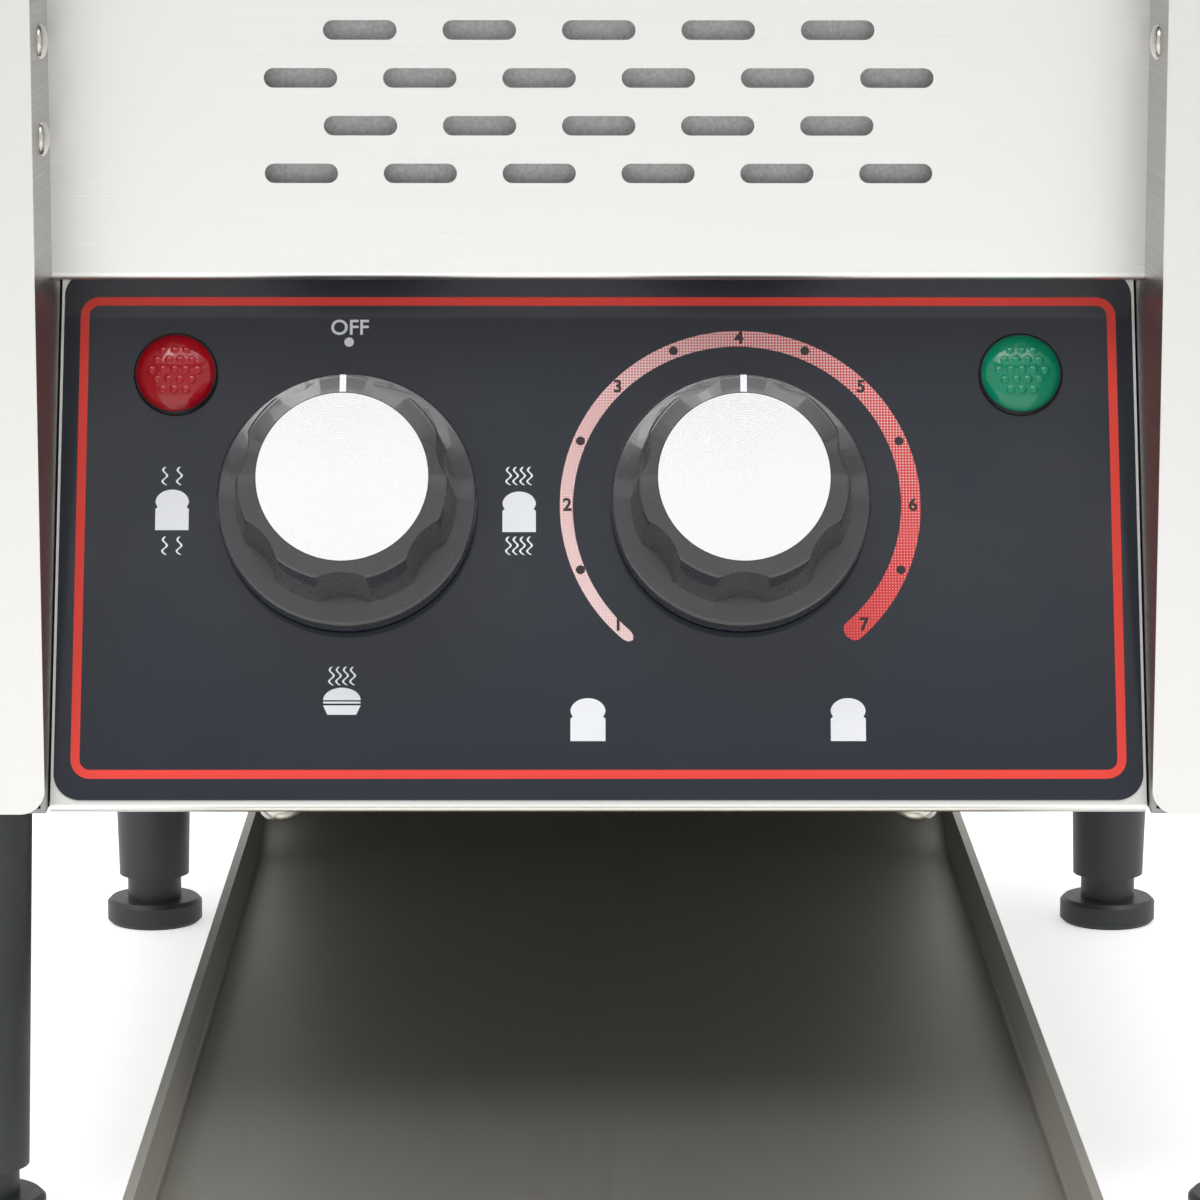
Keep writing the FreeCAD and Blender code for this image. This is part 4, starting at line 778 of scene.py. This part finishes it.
@dataclass
class LabelPrint:
    """What is printed on the label: border, dial marks, numbers and plain pictures of bread.

    Attributes:
        panel: The face that carries it.
        ink: Thickness of the ink in millimetres.
        border_half: Half the width of the red border.
        border_foot: Its lower edge, up the panel.
        border_head: Its upper edge.
        border_line: Width of its line.
        border_corner: Radius of its corners.
        ring_across: Middle of the dial's band, across the panel.
        ring_up: Middle of the band, up the panel.
        ring_radius: Its outer radius.
        ring_thin: Its width at the first mark.
        ring_thick: Its width at the last.
        ring_end: How far it reaches each way from straight up, in degrees.
        mark_radius: Radius that the numbers and dots stand on.
        dot_radius: Radius of a dot.
    """

    panel: Panel
    ink: float = 0.04
    border_half: float = 107.9
    border_foot: float = 7.2
    border_head: float = 109.2
    border_line: float = 1.85
    border_corner: float = 4.0
    ring_across: float = 29.3
    ring_up: float = 64.6
    ring_radius: float = 37.3
    ring_thin: float = 2.3
    ring_thick: float = 4.4
    ring_end: float = 142.0
    mark_radius: float = 35.75
    dot_radius: float = 0.95

    def prism(self, maker: MeshMaker, outline: list[Pair], lift: float = 0.0) -> None:
        """Print a filled outline."""
        maker.loft(
            [
                [self.panel.point(across, up, out) for across, up in outline]
                for out in (lift + self.ink / 4, lift + self.ink)
            ]
        )

    def band(self, maker: MeshMaker, outer: list[Pair], inner: list[Pair], closed: bool) -> None:
        """Print the strip between two outlines with the same number of points.

        Args:
            maker: The mesh that takes it.
            outer: One outline.
            inner: The other.
            closed: Whether the strip joins itself.
        """
        sections = []
        for first, second in zip(outer, inner):
            sections.append(
                [
                    self.panel.point(*first, self.ink / 4),
                    self.panel.point(*first, self.ink),
                    self.panel.point(*second, self.ink),
                    self.panel.point(*second, self.ink / 4),
                ]
            )
        if closed:
            sections.append(sections[0])
        maker.loft(sections, capped=not closed)
        maker.weld()

    def words(
        self, maker: MeshMaker, text: str, across: float, up: float, height: float, bold: float
    ) -> None:
        """Print characters centred on a place.

        Args:
            maker: The mesh that takes them.
            text: The characters.
            across: Their middle across the panel.
            up: Their middle up the panel.
            height: Height of a capital.
            bold: How far each stroke is thickened.
        """
        curve = bpy.data.curves.new("print", "FONT")
        curve.body = text
        curve.align_x = "CENTER"
        curve.align_y = "CENTER"
        curve.size = height * MM / 0.7
        curve.offset = bold * MM
        curve.extrude = self.ink * MM / 2
        curve.resolution_u = 4
        holder = bpy.data.objects.new("print", curve)
        bpy.context.scene.collection.objects.link(holder)
        evaluated = holder.evaluated_get(bpy.context.evaluated_depsgraph_get())
        mesh = bpy.data.meshes.new_from_object(evaluated)
        bpy.data.objects.remove(holder)
        bpy.data.curves.remove(curve)
        place = Matrix.Translation(Vector((across, up, self.ink * 1.1)) * MM)
        maker.take(mesh, self.panel.turn(self.panel.foot) @ place)

    def border(self, red: Material) -> None:
        """Print the red line round the label.

        Args:
            red: The ink.
        """
        maker = MeshMaker()
        outer = rounded(self.border_half, self.border_foot, self.border_head, self.border_corner)
        line = self.border_line
        inner = rounded(
            self.border_half - line,
            self.border_foot + line,
            self.border_head - line,
            self.border_corner - line,
        )
        self.band(maker, outer, inner, closed=True)
        maker.piece("label_border", red, "housing")

    def ring(self, ink: Material) -> None:
        """Print the dial's band, which widens from its first mark to its last.

        Args:
            ink: The ink.
        """
        steps = 360
        centre = (self.ring_across, self.ring_up)
        outer: list[Pair] = []
        inner: list[Pair] = []
        for step in range(steps + 1):
            share = step / steps
            turn = self.ring_end * (2 * share - 1)
            width = self.ring_thin + (self.ring_thick - self.ring_thin) * share
            ease = math.sqrt(max(0.0, 1 - (1 - min(1.0, 90 * share, 90 * (1 - share))) ** 2))
            middle = self.ring_radius - width / 2
            half = width / 2 * max(0.05, ease)
            outer += arc(centre, middle + half, turn, turn, 1)[:1]
            inner += arc(centre, middle - half, turn, turn, 1)[:1]
        maker = MeshMaker()
        self.band(maker, outer, inner, closed=False)
        maker.piece("dial_band", ink, "housing")

    def marks(self, dark: Material) -> None:
        """Print the numbers and dots on the dial's band.

        Args:
            dark: The ink.
        """
        maker = MeshMaker()
        centre = (self.ring_across, self.ring_up)
        for number in range(1, 8):
            across, up = arc(centre, self.mark_radius, 45.0 * (number - 4), 0, 1)[0]
            self.words(maker, str(number), across, up, 2.6, 0.12)
            if number < 7:
                spot = arc(centre, self.mark_radius, 45.0 * (number - 4) + 22.5, 0, 1)[0]
                self.prism(maker, arc(spot, self.dot_radius, 0, 345, 23), self.ink)
        maker.piece("dial_marks", dark, "housing")

    def squiggle(self, maker: MeshMaker, across: float, up: float) -> None:
        """Print one wavy line of rising heat.

        Args:
            maker: The mesh that takes it.
            across: Its middle across the panel.
            up: Its middle up the panel.
        """
        height, sway, stroke, steps = 3.85, 0.55, 0.22, 18
        left: list[Pair] = []
        right: list[Pair] = []
        for step in range(steps + 1):
            share = step / steps
            shift = sway * math.sin(share * 3.2 * math.pi + 2.6) * (1 - 0.3 * share)
            level = up + height * (share - 0.5)
            left.append((across + shift - stroke, level))
            right.append((across + shift + stroke, level))
        self.band(maker, left, right, closed=False)

    def slice(self, maker: MeshMaker, across: float, up: float, scale: float) -> None:
        """Print a plain slice of bread.

        Args:
            maker: The mesh that takes it.
            across: Its middle across the panel.
            up: Its middle up the panel.
            scale: Its size against the plain one.
        """
        half, foot, neck, head = 3.45, -4.3, 0.55, 4.3
        outline = [
            (half, foot),
            (half, neck - 0.35),
            (half - 0.45, neck),
            (half - 0.15, neck + 0.6),
        ]
        crown = [
            (half * math.cos(turn), neck + 1.1 + (head - neck - 1.1) * math.sin(turn))
            for turn in (math.pi * step / 16 for step in range(17))
        ]
        mirrored = [(-first, second) for first, second in outline[::-1]]
        shape = [(across + scale * x, up + scale * y) for x, y in outline + crown + mirrored]
        self.prism(maker, shape)

    def bun(self, maker: MeshMaker, across: float, up: float) -> None:
        """Print a bun in two halves.

        Args:
            maker: The mesh that takes it.
            across: Its middle across the panel.
            up: Its middle up the panel.
        """
        half = 3.85
        crown = [
            (across + half * math.cos(turn), up + 0.35 + 2.6 * math.sin(turn))
            for turn in (math.pi * step / 16 for step in range(17))
        ]
        self.prism(maker, crown[::-1])
        self.prism(maker, rounded(half, up - 0.35, up + 0.05, 0.18, across))
        base = ((half, 0.75), (half - 0.9, 2.7), (0.9 - half, 2.7), (-half, 0.75))
        self.prism(maker, [(across + side, up - drop) for side, drop in base])

    def pictures(self, white: Material) -> None:
        """Print the switch's OFF mark and the pictures for what it toasts.

        Args:
            white: The ink.
        """
        maker = MeshMaker()
        self.words(maker, "OFF", -51.8, 102.5, 3.2, 0.06)
        self.prism(maker, arc((-51.9, 99.5), 1.0, 0, 345, 23))
        for across, up, scale in (
            (-88.1, 63.6, 1.0),
            (-16.4, 63.2, 1.0),
            (-2.2, 19.5, 1.04),
            (51.1, 19.5, 1.04),
        ):
            self.slice(maker, across, up, scale)
        for across, up, count, pitch in (
            (-88.2, 70.8, 2, 3.0),
            (-88.0, 56.0, 2, 3.0),
            (-16.4, 70.8, 4, 1.45),
            (-16.4, 56.0, 4, 1.45),
            (-52.6, 28.6, 4, 1.45),
        ):
            for step in range(count):
                self.squiggle(maker, across + pitch * (step - (count - 1) / 2), up)
        self.bun(maker, -52.6, 23.2)
        maker.piece("label_pictures", white, "housing")

    def build(self) -> None:
        """Print everything."""
        self.border(RED_INK.build())
        self.ring(self.dial_ink())
        self.marks(BLACK_INK.build())
        self.pictures(WHITE_INK.build())

    def dial_ink(self) -> Material:
        """Mix the dial's halftone: pale pink at its first mark and full red at its last.

        Returns:
            The material.
        """
        material = bpy.data.materials.new("halftone_dial_ink")
        material.use_nodes = True
        tree = material.node_tree
        tree.nodes.clear()
        place = add(tree, "ShaderNodeTexCoord").outputs["Object"]
        centre = self.panel.point(self.ring_across, self.ring_up, 0)
        local = add(
            tree,
            "ShaderNodeMapping",
            {"Vector": place, "Location": centre, "Rotation": (-self.panel.lean, 0, 0)},
            vector_type="TEXTURE",
        ).outputs["Vector"]
        parts = add(tree, "ShaderNodeSeparateXYZ", {"Vector": local})
        turn = add(
            tree,
            "ShaderNodeMath",
            {0: parts.outputs["X"], 1: parts.outputs["Z"]},
            operation="ARCTAN2",
        ).outputs["Value"]
        ease = add(
            tree,
            "ShaderNodeMapRange",
            {"Value": turn, "From Min": -2.5, "From Max": 2.5, "To Min": 0.14, "To Max": 0.6},
        ).outputs["Result"]
        dots = add(
            tree,
            "ShaderNodeTexVoronoi",
            {"Vector": local, "Scale": 1 / (0.62 * MM), "Randomness": 0.0},
            feature="F1",
        ).outputs["Distance"]
        spot = add(tree, "ShaderNodeMath", {0: dots, 1: ease}, operation="LESS_THAN").outputs["Value"]
        mix = add(
            tree,
            "ShaderNodeMix",
            {0: spot, 6: linear("#f3d9d8"), 7: linear("#e2383a")},
            data_type="RGBA",
        ).outputs[2]
        shader = add(tree, "ShaderNodeBsdfPrincipled", {"Base Color": mix, "Roughness": 0.36})
        add(tree, "ShaderNodeOutputMaterial", {"Surface": shader.outputs["BSDF"]})
        return material


@dataclass
class Knobs:
    """The two fluted knobs: their moulded bodies, discs and the white line on each grip.

    Attributes:
        panel: The face that they stand on.
        line_half: Half the width of the line.
        line_reach: Radii at which the line starts and ends.
        shoulder: Radius where the grip's top turns down, radius of that turn, and its drop below the top.
        lift: Height of the skirt's foot over the label.
        top: Height of the grip's top over the label.
        skirt: Radius, height and wall of the skirt.
        grip: Radius of the grip at its foot.
        seat: Radius and depth of the seat for the disc.
        bore: Radius of the hole for the spindle.
        flutes: How many flutes the grip has.
        flute: Radius and depth of a flute.
        ease: How far a flute's edges are eased.
        skirt_round: Radius of the skirt's upper edge, and the rise from it to the grip's foot.
        steps: Places round each ring of the body.
    """

    panel: Panel
    line_half: float = 0.65
    line_reach: Pair = (17.6, 21.45)
    shoulder: Triple = (20.7, 0.8, 0.5)
    lift: float = 0.8
    top: float = 25.2
    skirt: Triple = (26.8, 5.6, 2.0)
    grip: float = 22.8
    seat: Pair = (17.4, 0.8)
    bore: float = 3.0
    flutes: int = 7
    flute: Pair = (11.0, 1.9)
    ease: float = 0.3
    skirt_round: float = 1.0
    steps: int = 280

    def build(self) -> None:
        """Dress the knobs and draw their lines."""
        black = KNOB_PHENOLIC.build()
        white = WHITE_INK.build()
        for name, body in (("mode_knob", "mode_control"), ("speed_knob", "speed_setting")):
            low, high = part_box(f"{name}_disc")
            centre = (low + high) / 2
            self.moulding(name, body, centre, black)
            disc = SpunAluminium(
                f"{name}_spun_disc",
                "#ffffff",
                0.2,
                centre=tuple(centre),
                lean=self.panel.lean,
                depth=0.0015,
            )
            dress_node(f"{name}_disc", disc.build())
            self.line(name, body, centre, white)

    def fluted(self, radius: float, wall: float, turn: float) -> float:
        """Give what the flutes leave of a ring of the grip.

        Args:
            radius: The ring's radius.
            wall: Radius of the grip's wall there, which the flutes are cut into.
            turn: The turn from straight down.

        Returns:
            The radius that is left.
        """
        flute_radius, depth = self.flute
        pitch = math.tau / self.flutes
        away = (turn + pitch / 2) % pitch - pitch / 2
        reach = wall + flute_radius - depth
        across = reach * math.sin(away)
        if abs(across) >= flute_radius:
            return radius
        left = reach * math.cos(away) - math.sqrt(flute_radius**2 - across**2)
        blend = max(self.ease - abs(radius - left), 0.0) / self.ease
        return min(radius, left) - blend**2 * self.ease / 4

    def moulding(self, name: str, body: str, centre: Vector, black: Material) -> None:
        """Turn the skirt and grip in one skin, with the flutes cut down to the skirt.

        Args:
            name: The knob's node, which the skin stands for.
            body: The body that carries it.
            centre: The middle of its disc.
            black: The finish.
        """
        skirt_radius, skirt_height, wall = self.skirt
        seat_radius, seat_depth = self.seat
        start, round_radius, fall = self.shoulder
        rim = self.lift + skirt_height
        foot = rim + self.skirt_round
        edge = start + round_radius
        section = [
            (self.bore, rim - wall, 0.0),
            (skirt_radius - wall, rim - wall, 0.0),
            (skirt_radius - wall, self.lift, 0.0),
            (skirt_radius - 0.15, self.lift, 0.0),
            (skirt_radius, self.lift + 0.15, 0.0),
        ]
        for step in range(7):
            turn = math.radians(15 * step)
            across = skirt_radius - self.skirt_round * (1 - math.cos(turn))
            section.append((across, rim - self.skirt_round * (1 - math.sin(turn)), 0.0))
        section += [(self.grip, foot, 0.0), (self.grip, foot, self.grip)]
        for step in range(9):
            turn = math.radians(11.25 * step)
            height = self.top - fall - round_radius + round_radius * math.sin(turn)
            section.append((start + round_radius * math.cos(turn), height, edge))
        section += [
            (seat_radius + 0.15, self.top, 0.0),
            (seat_radius, self.top - 0.15, 0.0),
            (seat_radius, self.top - seat_depth, 0.0),
            (self.bore, self.top - seat_depth, 0.0),
            (self.bore, rim - wall, 0.0),
        ]
        middle = centre - self.panel.outward * (self.top - seat_depth / 2) * MM
        rings = []
        for radius, height, cut in section:
            ring = []
            for step in range(self.steps):
                turn = math.tau * step / self.steps
                reach = (self.fluted(radius, cut, turn) if cut else radius) * MM
                ring.append(
                    middle
                    + Vector((math.sin(turn) * reach, 0, 0))
                    - self.panel.slope * math.cos(turn) * reach
                    + self.panel.outward * height * MM
                )
            rings.append(ring)
        maker = MeshMaker()
        maker.loft(rings, capped=False)
        maker.weld()
        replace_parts(maker.piece(f"{name}_moulding", black, body), name)

    def drop(self, radius: float) -> float:
        """Give how far the grip's shoulder lies below its top.

        Args:
            radius: Where, on the top lobe.

        Returns:
            The drop.
        """
        start, round_radius, fall = self.shoulder
        seat_radius = self.seat[0]
        slope = fall * min(1.0, max(0.0, (radius - seat_radius) / (start - seat_radius)))
        reach = min(round_radius, max(0.0, radius - start))
        return slope + round_radius - math.sqrt(round_radius**2 - reach**2)

    def line(self, name: str, body: str, centre: Vector, white: Material) -> None:
        """Draw the white line from the disc over the shoulder of the top lobe.

        Args:
            name: The knob's node.
            body: The body that carries it.
            centre: The middle of its disc.
            white: The ink.
        """
        first, last = self.line_reach
        rings = []
        for step in range(13):
            radius = first + (last - first) * step / 12
            ring = []
            for side, lift in ((-1, -0.1), (-1, 0.12), (1, 0.12), (1, -0.1)):
                ring.append(
                    centre
                    + Vector((side * self.line_half * MM, 0, 0))
                    + self.panel.slope * radius * MM
                    + self.panel.outward * (0.4 + lift - self.drop(radius)) * MM
                )
            rings.append(ring)
        maker = MeshMaker()
        maker.loft(rings)
        maker.piece(f"{name}_line", white, body)


@dataclass
class Lamps:
    """The two indicator lamps: a pebbled lens face and a dark ring round it that paints the shade at the
    lens's edge.

    Attributes:
        panel: The face that they stand on.
        pitch: Spacing of the pebbles.
        pebble: Radius of a pebble.
        flatness: Height of a pebble as a share of its width.
        reach: Radius that holds the pebbles.
        crown: Height of the lens's dome and its radius at the foot.
        across: Distance of each lamp from the panel's middle.
        up: Their place up the panel.
        rim: Height of the lens's rim.
        ring: Inner radius, outer radius and height of the dark ring round the lens, which paints the shade
            at its edge.
    """

    panel: Panel
    across: float = 87.8
    up: float = 92.5
    rim: float = 1.0
    ring: Triple = (7.9, 8.75, 1.3)
    pitch: float = 2.35
    pebble: float = 0.95
    flatness: float = 0.45
    reach: float = 5.4
    crown: Pair = (3.6, 8.25)

    def pebble_tree(self, material: Material) -> Tree:
        """Make the tree that lays a flattened pebble on each point.

        Args:
            material: The lens's finish.

        Returns:
            The tree.
        """
        tree, given = start_tree("lens_pebbles", ("Radius", "Flatness"))
        bead = add(
            tree, "GeometryNodeMeshIcoSphere", {"Radius": given.outputs["Radius"], "Subdivisions": 3}
        )
        flat = add(tree, "ShaderNodeCombineXYZ", {"X": 1.0, "Y": 1.0, "Z": given.outputs["Flatness"]})
        copied = {
            "Points": given.outputs["Geometry"],
            "Instance": bead.outputs["Mesh"],
            "Scale": flat.outputs["Vector"],
        }
        end_tree(tree, copied, material)
        return tree

    def spots(self) -> list[Pair]:
        """List the honeycomb's places within reach of the lens's middle.

        Returns:
            Places across and up the lens.
        """
        rows = range(-3, 4)
        found = [
            (self.pitch * (column + row % 2 / 2), self.pitch * row * math.sqrt(3) / 2)
            for row in rows
            for column in rows
        ]
        return [spot for spot in found if math.hypot(*spot) < self.reach]

    def build(self) -> None:
        """Lay the pebbles on both lenses."""
        for name, glass, across in (
            ("red_lamp_lens", RED_LENS, -self.across),
            ("green_lamp_lens", GREEN_LENS, self.across),
        ):
            foot = self.panel.point(across, self.up, self.rim)
            self.lay(name, bpy.data.materials[glass.name], foot)
            self.bezel(name, across)

    def bezel(self, name: str, across: float) -> None:
        """Put a thin dark ring round the foot of one lens, as painted shade at the lens's edge.

        Args:
            name: The lens's node.
            across: Its middle across the panel.
        """
        first, last, height = self.ring
        centre = (across, self.up)
        section = (
            (last, 0.05),
            (last, height / 2),
            (last - height / 3, height),
            (first, height),
            (first, 0.05),
        )
        rings = []
        for step in range(65):
            turn = 360 * step / 64
            ring = []
            for radius, out in section:
                ring.append(self.panel.point(*arc(centre, radius, turn, turn, 1)[0], out))
            rings.append(ring)
        maker = MeshMaker()
        maker.loft(rings, capped=False)
        maker.weld()
        # This black ring is painted shade at the lens's edge
        black = bpy.data.materials[BLACK_MOULDING.name]
        maker.piece(f"{name}_ring", black, "housing")

    def lay(self, name: str, material: Material, foot: Vector) -> None:
        """Turn one lens's pebbles into a plain mesh on the housing.

        Args:
            name: The lens's node.
            material: Its finish.
            foot: The middle of its face.
        """
        height, radius = self.crown
        points = []
        for across, up in self.spots():
            lift = height * math.sqrt(max(0.0, 1 - (math.hypot(across, up) / radius) ** 2))
            points.append((across * MM, up * MM, (lift - 0.12) * MM))
        sizes = {"Radius": self.pebble * MM, "Flatness": self.flatness}
        mesh = grown(self.pebble_tree(material), points, sizes)
        maker = MeshMaker()
        maker.take(mesh, self.panel.turn(foot))
        maker.piece(f"{name}_pebbles", material, "housing")


@dataclass
class HeaterCoils:
    """The coiled heating wire inside each quartz tube.

    Attributes:
        tube: Radius of a tube.
        coil: Radius of the coil's middle line.
        wire: Radius of the wire.
        pitch: Length that one turn takes.
        margin: Straight end left clear inside each end of a tube.
    """

    tube: float = 5.0
    coil: float = 3.1
    wire: float = 0.4
    pitch: float = 3.2
    margin: float = 12.0

    def coil_tree(self, material: Material) -> Tree:
        """Make the tree that sweeps a wire along a spiral at each point.

        Args:
            material: The wire's finish.

        Returns:
            The tree.
        """
        tree, given = start_tree("heating_coil", ("Length", "Turns", "Radius", "Wire"))
        spiral = add(
            tree,
            "GeometryNodeCurveSpiral",
            {
                "Resolution": 14,
                "Rotations": given.outputs["Turns"],
                "Start Radius": given.outputs["Radius"],
                "End Radius": given.outputs["Radius"],
                "Height": given.outputs["Length"],
            },
        )
        ring = add(
            tree, "GeometryNodeCurvePrimitiveCircle", {"Resolution": 6, "Radius": given.outputs["Wire"]}
        )
        swept = add(
            tree,
            "GeometryNodeCurveToMesh",
            {"Curve": spiral.outputs["Curve"], "Profile Curve": ring.outputs["Curve"], "Fill Caps": True},
        )
        copied = {
            "Points": given.outputs["Geometry"],
            "Instance": swept.outputs["Mesh"],
            "Rotation": (0.0, math.radians(90), 0.0),
        }
        end_tree(tree, copied, material)
        return tree

    def build(self) -> None:
        """Coil a wire in every tube."""
        material = ELEMENT_WIRE.build()
        for name, count in (("upper_heater_tubes", 3), ("lower_heater_tubes", 2)):
            low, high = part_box(name)
            first = low.y + self.tube * MM
            step = (high.y - low.y - 2 * self.tube * MM) / (count - 1)
            level = (low.z + high.z) / 2
            start = low.x + self.margin * MM
            length = (high.x - low.x) / MM - 2 * self.margin
            points = [(start, first + step * index, level) for index in range(count)]
            mesh = grown(
                self.coil_tree(material),
                points,
                {
                    "Length": length * MM,
                    "Turns": length / self.pitch,
                    "Radius": self.coil * MM,
                    "Wire": self.wire * MM,
                },
            )
            maker = MeshMaker()
            maker.take(mesh, Matrix.Identity(4))
            maker.piece(f"{name}_coils", material, "housing", smooth=70.0)


@dataclass
class Casework:
    """The sheet metal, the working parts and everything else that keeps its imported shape."""

    def build(self) -> None:
        """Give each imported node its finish."""
        choices = {
            FLANGE_STEEL: ("vent_panel", "control_panel", "front_header", "rear_panel"),
            COVER_STEEL: ("left_side_cover", "right_side_cover", "top_cover"),
            TRAY_STEEL: ("receiving_tray", "tray_shelf"),
            INNER_STEEL: ("left_inner_wall", "right_inner_wall", "control_shield", "toast_chute"),
            ZINC_SHEET: ("base_pan", "belt_rails", "gear_motor", "drive_chain"),
            BACKING_SHEET: ("vent_backing",),
            REFLECTOR: ("upper_reflector", "lower_reflector"),
            TURNED_STEEL: (
                "drive_shaft",
                "idler_shaft",
                "motor_shaft",
                "mode_spindle",
                "speed_spindle",
                "drive_drums",
                "idler_drums",
                "driven_sprocket",
                "motor_sprocket",
                "conveyor_belt",
            ),
            PLATED_SCREW: ("rear_screws", "lip_screws", "recess_screws", "leg_nuts", "control_nuts"),
            CHROME_WIRE: ("feed_rack",),
            BRONZE: ("shaft_bushes",),
            LABEL_FILM: ("control_label",),
            LEG_NYLON: tuple(
                f"{end}_{side}_{kind}"
                for end in ("front", "rear")
                for side in ("left", "right")
                for kind in ("leg", "foot")
            ),
            BLACK_MOULDING: ("mode_switch", "lamp_holders", "cable_gland"),
            BOARD_RESIN: ("speed_control", "terminal_block"),
            CERAMIC: ("heater_ends",),
            QUARTZ: ("upper_heater_tubes", "lower_heater_tubes"),
            RED_LENS: ("red_lamp_lens",),
            GREEN_LENS: ("green_lamp_lens",),
        }
        for finish, names in choices.items():
            material = finish.build()
            for name in names:
                dress_node(name, material)
            LOG.info("%s on %d nodes", finish.name, len(names))


def main() -> None:
    """Build the studio and dress the toaster, one sub-assembly after another."""
    logging.basicConfig(level=logging.INFO, format="%(name)s %(message)s")
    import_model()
    Studio().build()
    Casework().build()
    panel = Panel()
    LabelPrint(panel).build()
    Knobs(panel).build()
    Lamps(panel).build()
    HeaterCoils().build()


if __name__ == "__main__":
    main()
